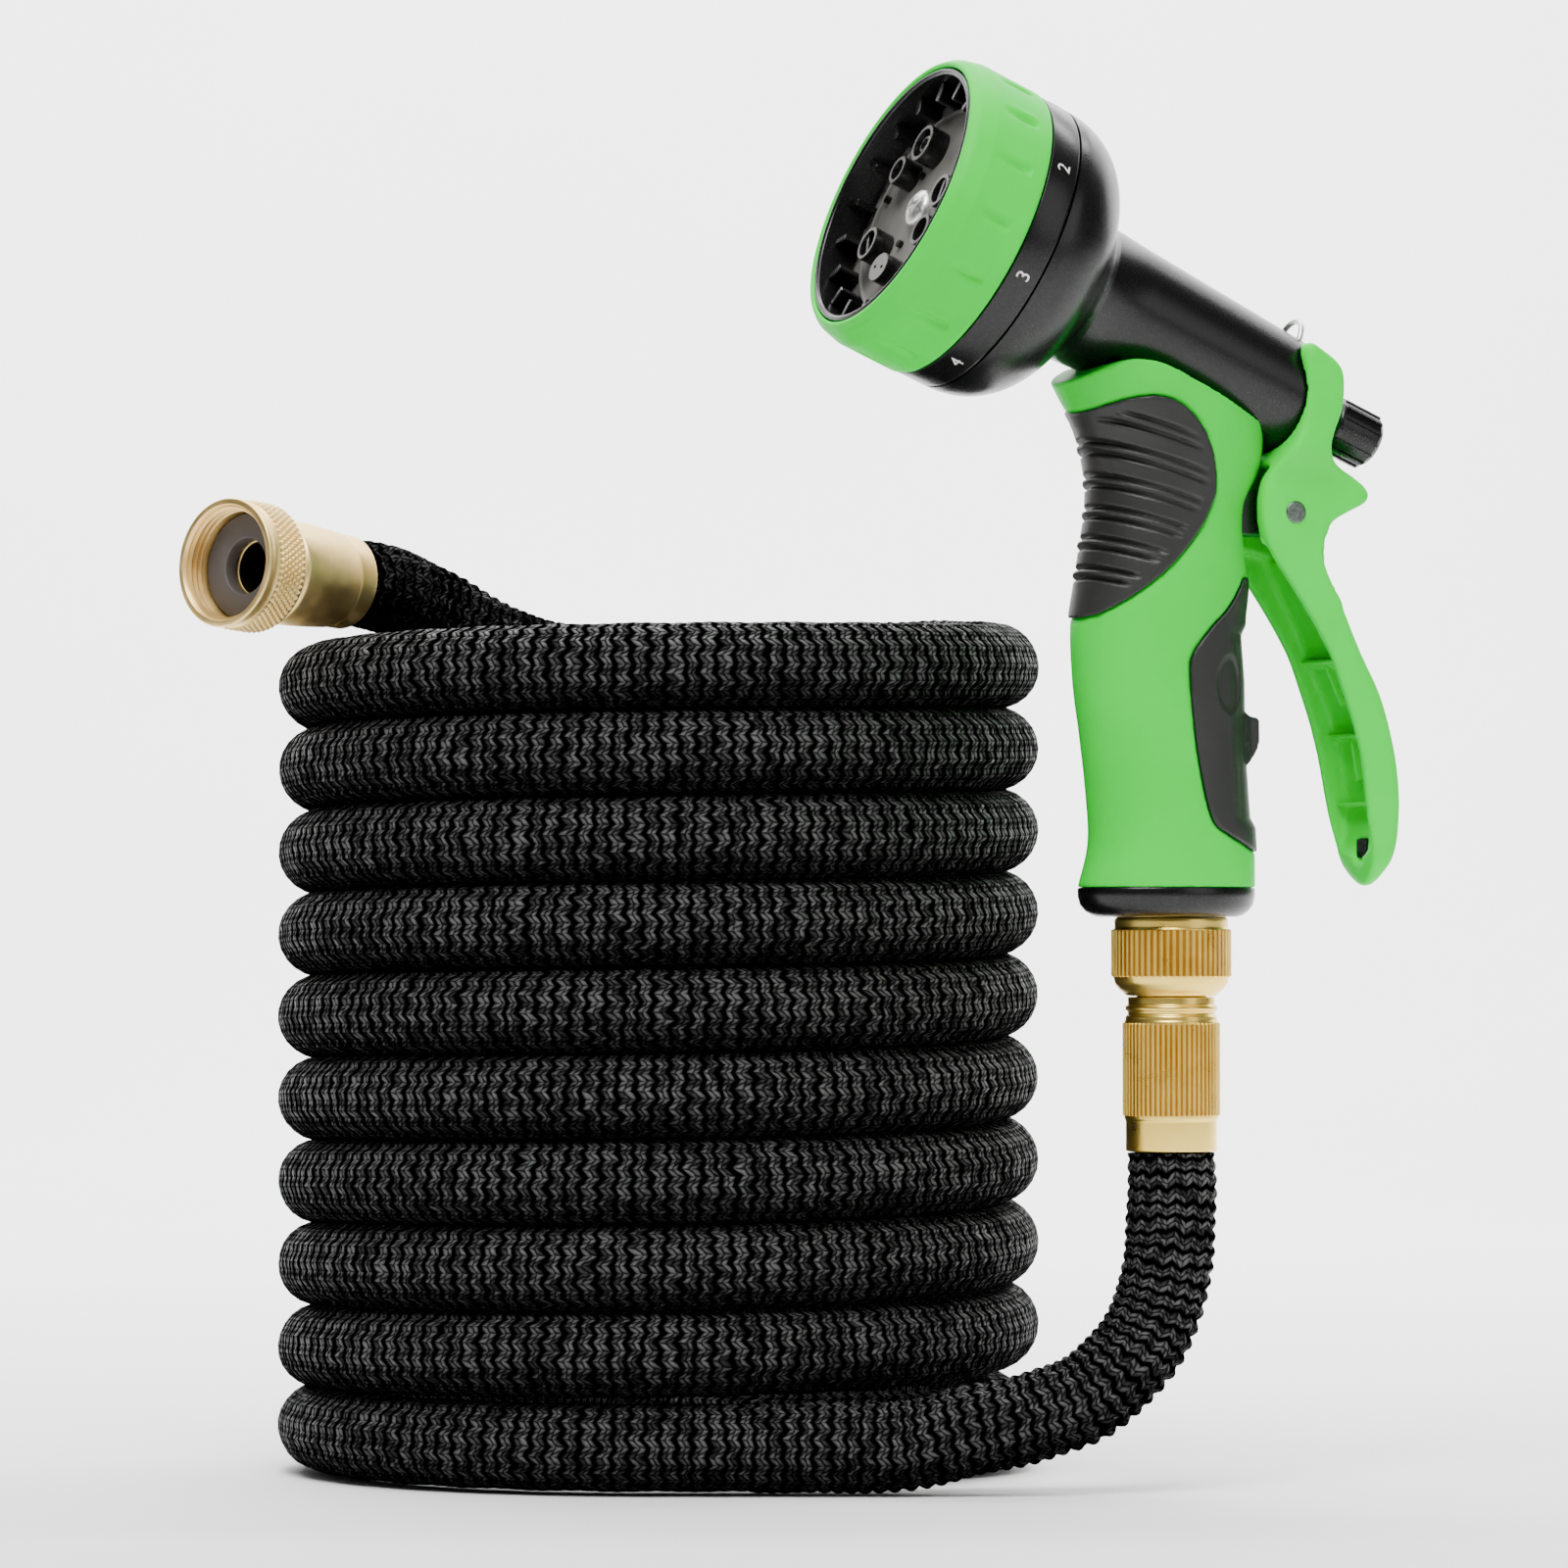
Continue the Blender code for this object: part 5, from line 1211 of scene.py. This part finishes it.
def dial_screw(floor):
    """Domed screw with a cross recess, on a small boss."""
    base = floor - 0.2 * MM
    outline = rounded([(0, base), (4.9 * MM, base), (4.9 * MM, base + 1.6 * MM), (4.5 * MM, base + 2.6 * MM),
                       (2.8 * MM, base + 3.5 * MM), (0, base + 3.8 * MM)], 0.5 * MM)
    screw = link("dial_screw", turned("dial_screw", outline, 64))
    for turn in (0, 90):
        arm = block("arm", (5.0 * MM, 1.2 * MM, 3.4 * MM), 0.15 * MM, 1, (0, 0, base + 3.9 * MM))
        boolean(screw, arm, "DIFFERENCE", Matrix.Rotation(math.radians(turn + 20), 4, "Z"))
    put(screw, BARREL, "steel", "dial", ["centre_screw"])


def dial_numbers(sizes, seam, ring_start):
    """Plain numbers printed round the dial's black band."""
    meshes = []
    radius = 37.34 * MM
    for number in range(1, sizes.settings + 1):
        curve = bpy.data.curves.new("number", "FONT")
        curve.body = str(number)
        curve.size = 4.9 * MM
        curve.extrude = 0.03 * MM
        curve.align_x = "CENTER"
        curve.align_y = "CENTER"
        mesh = curve_mesh(curve)
        angle = math.radians(-20) - math.tau * (number - 1) / sizes.settings
        stand = Matrix(((0, 0, 1), (1, 0, 0), (0, 1, 0))).to_4x4()
        place = (Matrix.Rotation(angle, 4, "Z") @ Matrix.Translation((radius, 0, (seam + ring_start) / 2))
                 @ stand)
        mesh.transform(place)
        meshes.append(mesh)
    put(joined("dial_numbers", meshes), BARREL, "ink", "dial")


class GARDENHOSE_OT_trigger(bpy.types.Operator):
    """Build the trigger, its pin, the valve stem, the flow knob and the catch wire"""
    bl_idname = "garden_hose.trigger"
    bl_label = "Trigger and knob"

    def execute(self, context):
        outline = [tuple(p) for p in curve_through([Vector(p) for p in TRIGGER_OUTLINE], 3, closed=True)]
        half, edge = 12.4 * MM, 1.6
        slices = []
        for step in range(4):
            angle = math.radians(90 * step / 3)
            shape = inset_outline(outline, edge * (1 - math.sin(angle)))
            slices.append((shape, half - edge * MM * (1 - math.cos(angle))))
        rings = [[(x * MM, -y, z * MM) for x, z in shape] for shape, y in slices]
        rings += [[(x * MM, y, z * MM) for x, z in shape] for shape, y in slices[::-1]]
        lever = link("trigger_lever", lofted("lever", rings))
        hollow = [tuple(p) for p in curve_through([Vector(p) for p in TRIGGER_HOLLOW[1:-2]], 4)]
        hollow = [TRIGGER_HOLLOW[0]] + hollow + list(TRIGGER_HOLLOW[-2:])
        boolean(lever, side_plate("hollow", hollow, half - 2.4 * MM), "DIFFERENCE")
        fork = [(-10, 109.9), (-29.0, 109.9), (-34.0, 105.4), (-34.6, 95.4), (-32.0, 87.4), (-10, 87.4)]
        boolean(lever, side_plate("fork", fork, 7.6 * MM), "DIFFERENCE")
        soften(lever, 0.7 * MM, 2)
        widen_hood(lever.data)
        gun_to_barrel = GUN.inverted() @ BARREL
        boolean(lever, bar("slot", 5.4 * MM, -70 * MM, -20 * MM), "DIFFERENCE", gun_to_barrel)
        keep_off = turned("barrel_clear", [(0, -35.4 * MM), (14.9 * MM, -35.4 * MM), (17.5 * MM, 16 * MM),
                                           (0, 16 * MM)], 64)
        boolean(lever, keep_off, "DIFFERENCE", gun_to_barrel)
        tip = block("tip_hole", (7.0 * MM, 9.0 * MM, 7.4 * MM), 1.6 * MM, 2)
        boolean(lever, tip, "DIFFERENCE", Matrix.Translation((-50.4 * MM, 1.5 * MM, 16.6 * MM)))
        soften(lever, 0.5 * MM, 7)
        narrow_tip(lever.data)
        put(lever, GUN, "green_plastic", "lever", ["trigger"], shade=False)
        channel_ribs(half)
        # A black block at the back of the trigger tip's hole, as painted shade in the hole.
        hole_shade_block = block("hole_shade_block", (1.6 * MM, 6.4 * MM, 6.0 * MM), 0.7 * MM, 2, (-52.9 * MM, 1.2 * MM, 16.6 * MM))
        put(link("trigger_tip_plug", hole_shade_block), GUN, "black_plastic", "lever")
        across = Matrix.Translation((PIVOT.x, 0, PIVOT.z)) @ Matrix.Rotation(math.radians(90), 4, "X")
        reach = half + 0.4 * MM
        pin_outline = rounded([(0, -reach), (2.5 * MM, -reach), (2.8 * MM, -reach + 0.5 * MM),
                               (2.8 * MM, reach - 0.5 * MM), (2.5 * MM, reach), (0, reach)], 0.25 * MM)
        pin = link("trigger_pin_rod", turned("pin", pin_outline, 48))
        put(pin, GUN @ across, "pin_steel", "lever", ["trigger_pin"])
        back, front = -49.2 * MM, -26.9 * MM
        outline = rounded([(0, back), (3.2 * MM, back), (3.2 * MM, -40 * MM), (3.0 * MM, front), (0, front)],
                          0.3 * MM)
        stem = link("valve_stem_rod", turned("stem", outline, 48))
        put(stem, BARREL, "steel", "stem", ["valve_stem"])
        flow_knob()
        catch_wire()
        return {"FINISHED"}


def widen_hood(mesh):
    """Spread the trigger's hood so that it closes round the end of the barrel."""
    for vert in mesh.vertices:
        rise = min(1.0, max(0.0, (vert.co.z / MM - 105) / 11))
        vert.co.y *= 1 + 0.34 * rise * rise * (3 - 2 * rise)


def narrow_tip(mesh):
    """Let the trigger taper to a rounded tip, as seen from behind."""
    for vert in mesh.vertices:
        below = max(0.0, 46 - vert.co.z / MM) / 38
        vert.co.z += 5.0 * MM * below ** 6 * (vert.co.y / (12.4 * MM)) ** 2
        vert.co.y *= 1 - 0.3 * below ** 2.2


def channel_ribs(half):
    """Thin stiffening ribs inside the trigger's channel: three across it, and a short one below each of the
    upper two.
    """
    meshes = []
    for back, up, turn, depth in ((-44.0, 62.0, -28, 2.4), (-51.2, 44.0, -16, 2.2), (-53.4, 27.5, 0, 2.2)):
        rib = block("rib", ((depth + 1.4) * MM, 2 * half - 4.9 * MM, 0.9 * MM), 0.25 * MM)
        rib.transform(Matrix.Translation(((back + depth / 2 - 0.3) * MM, 0, up * MM))
                      @ Matrix.Rotation(math.radians(turn), 4, "Y"))
        meshes.append(rib)
    for a, b in (((-44.6, 61.5), (-48.6, 52.5)), ((-51.6, 43.5), (-53.2, 34.0))):
        start, end = Vector((a[0], 0, a[1])) * MM, Vector((b[0], 0, b[1])) * MM
        rib = block("spine", (2.8 * MM, 1.1 * MM, (end - start).length + 1 * MM), 0.3 * MM)
        slope = math.atan2(end.x - start.x, end.z - start.z)
        rib.transform(Matrix.Translation((start + end) / 2 + Vector((0.7 * MM, 0, 0)))
                      @ Matrix.Rotation(slope, 4, "Y"))
        meshes.append(rib)
    ribs = joined("trigger_ribs", meshes)
    narrow_tip(ribs.data)
    put(ribs, GUN, "green_plastic", "lever")


def flow_knob():
    """Fluted knob behind the trigger's hood, on the valve stem."""
    start, length, radius = -47.2 * MM, 13.5 * MM, 7.2 * MM
    outline = rounded([(0, start - 0.2 * MM), (3.5 * MM, start - 0.2 * MM), (radius - 1.0 * MM, start),
                       (radius - 0.45 * MM, start - 0.9 * MM),
                       (radius - 0.45 * MM, start - length + 1.8 * MM),
                       (radius - 1.7 * MM, start - length + 0.3 * MM), (4.2 * MM, start - length),
                       (3.9 * MM, start - length + 0.5 * MM), (0, start - length + 0.6 * MM)], 0.4 * MM)
    core = turned("knob", outline, 96)
    rib = block("rib", (1.6 * MM, 1.65 * MM, length - 2.4 * MM), 0.45 * MM, 2)
    ribs = ring_of("knob_ribs", rib, "black_plastic", Count=14, Radius=radius - 0.85 * MM)
    ribs.transform(Matrix.Translation((0, 0, start - length / 2 + 0.2 * MM)))
    put(joined("flow_knob_cap", [core, ribs]), BARREL, "black_plastic", "knob", ["flow_knob"])


def catch_wire():
    """Thin steel wire bent over the back of the barrel."""
    place, half, height = -29.5 * MM, 5.5 * MM, 5.4 * MM
    foot = 13.2 * MM
    route = [Vector((foot - 0.8 * MM, half, place))]
    for step in range(17):
        angle = math.pi * step / 16
        route.append(Vector((foot + 0.4 * MM + height * math.sin(angle), half * math.cos(angle), place)))
    route.append(Vector((foot - 0.8 * MM, -half, place)))
    curve = bpy.data.curves.new("wire", "CURVE")
    curve.dimensions = "3D"
    curve.bevel_depth = 0.75 * MM
    curve.bevel_resolution = 4
    curve.use_fill_caps = True
    spline = curve.splines.new("POLY")
    spline.points.add(len(route) - 1)
    for target, point in zip(spline.points, route):
        target.co = (*point, 1.0)
    put(link("catch_wire_rod", curve_mesh(curve)), BARREL, "steel", "hose", ["catch_wire"], angle=60)


# Stage

def area_light(name, place, target, size, power):
    """A soft white rectangle of light that faces its target."""
    data = bpy.data.lights.new(name, "AREA")
    data.shape = "RECTANGLE"
    data.size = size[0]
    data.size_y = size[1]
    data.energy = power
    thing = link(name, data)
    thing.location = place
    thing.rotation_euler = (Vector(target) - Vector(place)).to_track_quat("-Z", "Y").to_euler()


def paper_sweep():
    """White paper that lies on the floor and curves up behind the hose."""
    profile = [(-4.0, 0.0), (1.3, 0.0)]
    for step in range(1, 17):
        angle = math.radians(90 * step / 16)
        profile.append((1.3 + 0.9 * math.sin(angle), 0.9 * (1 - math.cos(angle))))
    profile.append((2.2, 3.5))
    bm = bmesh.new()
    rows = [[bm.verts.new(COIL + Vector((x, y, z - 0.2 * MM))) for x in (-4.5, 4.5)] for y, z in profile]
    for lower, upper in zip(rows, rows[1:]):
        bm.faces.new((lower[0], lower[1], upper[1], upper[0]))
    mesh = bm_to_mesh("floor", bm, recalculate=False)
    mesh.shade_smooth()
    return mesh


class GARDENHOSE_OT_stage(bpy.types.Operator):
    """Set the pale floor, the soft lights and the camera"""
    bl_idname = "garden_hose.stage"
    bl_label = "Stage"

    def execute(self, context):
        floor = link("floor", paper_sweep())
        floor.data.materials.append(finish("floor"))
        world = bpy.data.worlds.new("studio")
        world.use_nodes = True
        background = world.node_tree.nodes["Background"]
        background.inputs["Color"].default_value = linear("#ffffff")
        background.inputs["Strength"].default_value = 0.1
        context.scene.world = world
        middle = COIL + Vector((30 * MM, 0, 150 * MM))
        area_light("key", COIL + Vector((-0.1, -1.1, 1.7)), middle, (0.9, 0.9), 50)
        area_light("fill", COIL + Vector((1.5, -1.1, 0.8)), middle, (0.9, 1.2), 5)
        area_light("top", COIL + Vector((0.1, 0.0, 1.6)), middle, (1.2, 1.0), 15)
        area_light("rim", COIL + Vector((1.1, 0.9, 0.8)), middle, (0.7, 0.9), 5)
        area_light("wall", COIL + Vector((0, 1.0, 1.9)), COIL + Vector((0, 2.2, 0.5)), (3.0, 0.8), 170)
        camera_data = bpy.data.cameras.new("camera")
        camera_data.lens = 167.4
        camera_data.sensor_width = 36
        camera_data.clip_start = 0.05
        camera = link("camera", camera_data)
        camera.location = COIL + Vector((32 * MM, -1860 * MM, 141.7 * MM))
        camera.rotation_euler = (math.radians(91.0), 0, 0)
        context.scene.camera = camera
        return {"FINISHED"}


class GARDENHOSE_PT_panel(bpy.types.Panel):
    """Lists the builders in the sidebar"""
    bl_idname = "GARDENHOSE_PT_panel"
    bl_label = "Garden Hose"
    bl_space_type = "VIEW_3D"
    bl_region_type = "UI"
    bl_category = "Garden Hose"

    def draw(self, context):
        for settings in (context.scene.garden_hose, context.scene.garden_brass, context.scene.garden_gun):
            for name in settings.__annotations__:
                self.layout.prop(settings, name)
        for operator in OPERATORS:
            self.layout.operator(operator.bl_idname)


OPERATORS = (GARDENHOSE_OT_inlet, GARDENHOSE_OT_outlet, GARDENHOSE_OT_body, GARDENHOSE_OT_grip,
             GARDENHOSE_OT_dial, GARDENHOSE_OT_trigger, GARDENHOSE_OT_stage, GARDENHOSE_OT_hose)
GROUPS = (("garden_hose", HoseSizes), ("garden_brass", BrassSizes), ("garden_gun", GunSizes))
CLASSES = tuple(group for name, group in GROUPS) + OPERATORS + (GARDENHOSE_PT_panel,)


def register():
    for entry in CLASSES:
        bpy.utils.register_class(entry)
    for name, group in GROUPS:
        setattr(bpy.types.Scene, name, PointerProperty(type=group))


def unregister():
    for name, group in GROUPS:
        delattr(bpy.types.Scene, name)
    for entry in reversed(CLASSES):
        bpy.utils.unregister_class(entry)


def main():
    register()
    bpy.ops.garden_hose.inlet()
    bpy.ops.garden_hose.outlet()
    bpy.ops.garden_hose.body()
    bpy.ops.garden_hose.grip()
    bpy.ops.garden_hose.dial()
    bpy.ops.garden_hose.trigger()
    bpy.ops.garden_hose.stage()
    bpy.ops.garden_hose.hose()


if __name__ == "__main__":
    main()
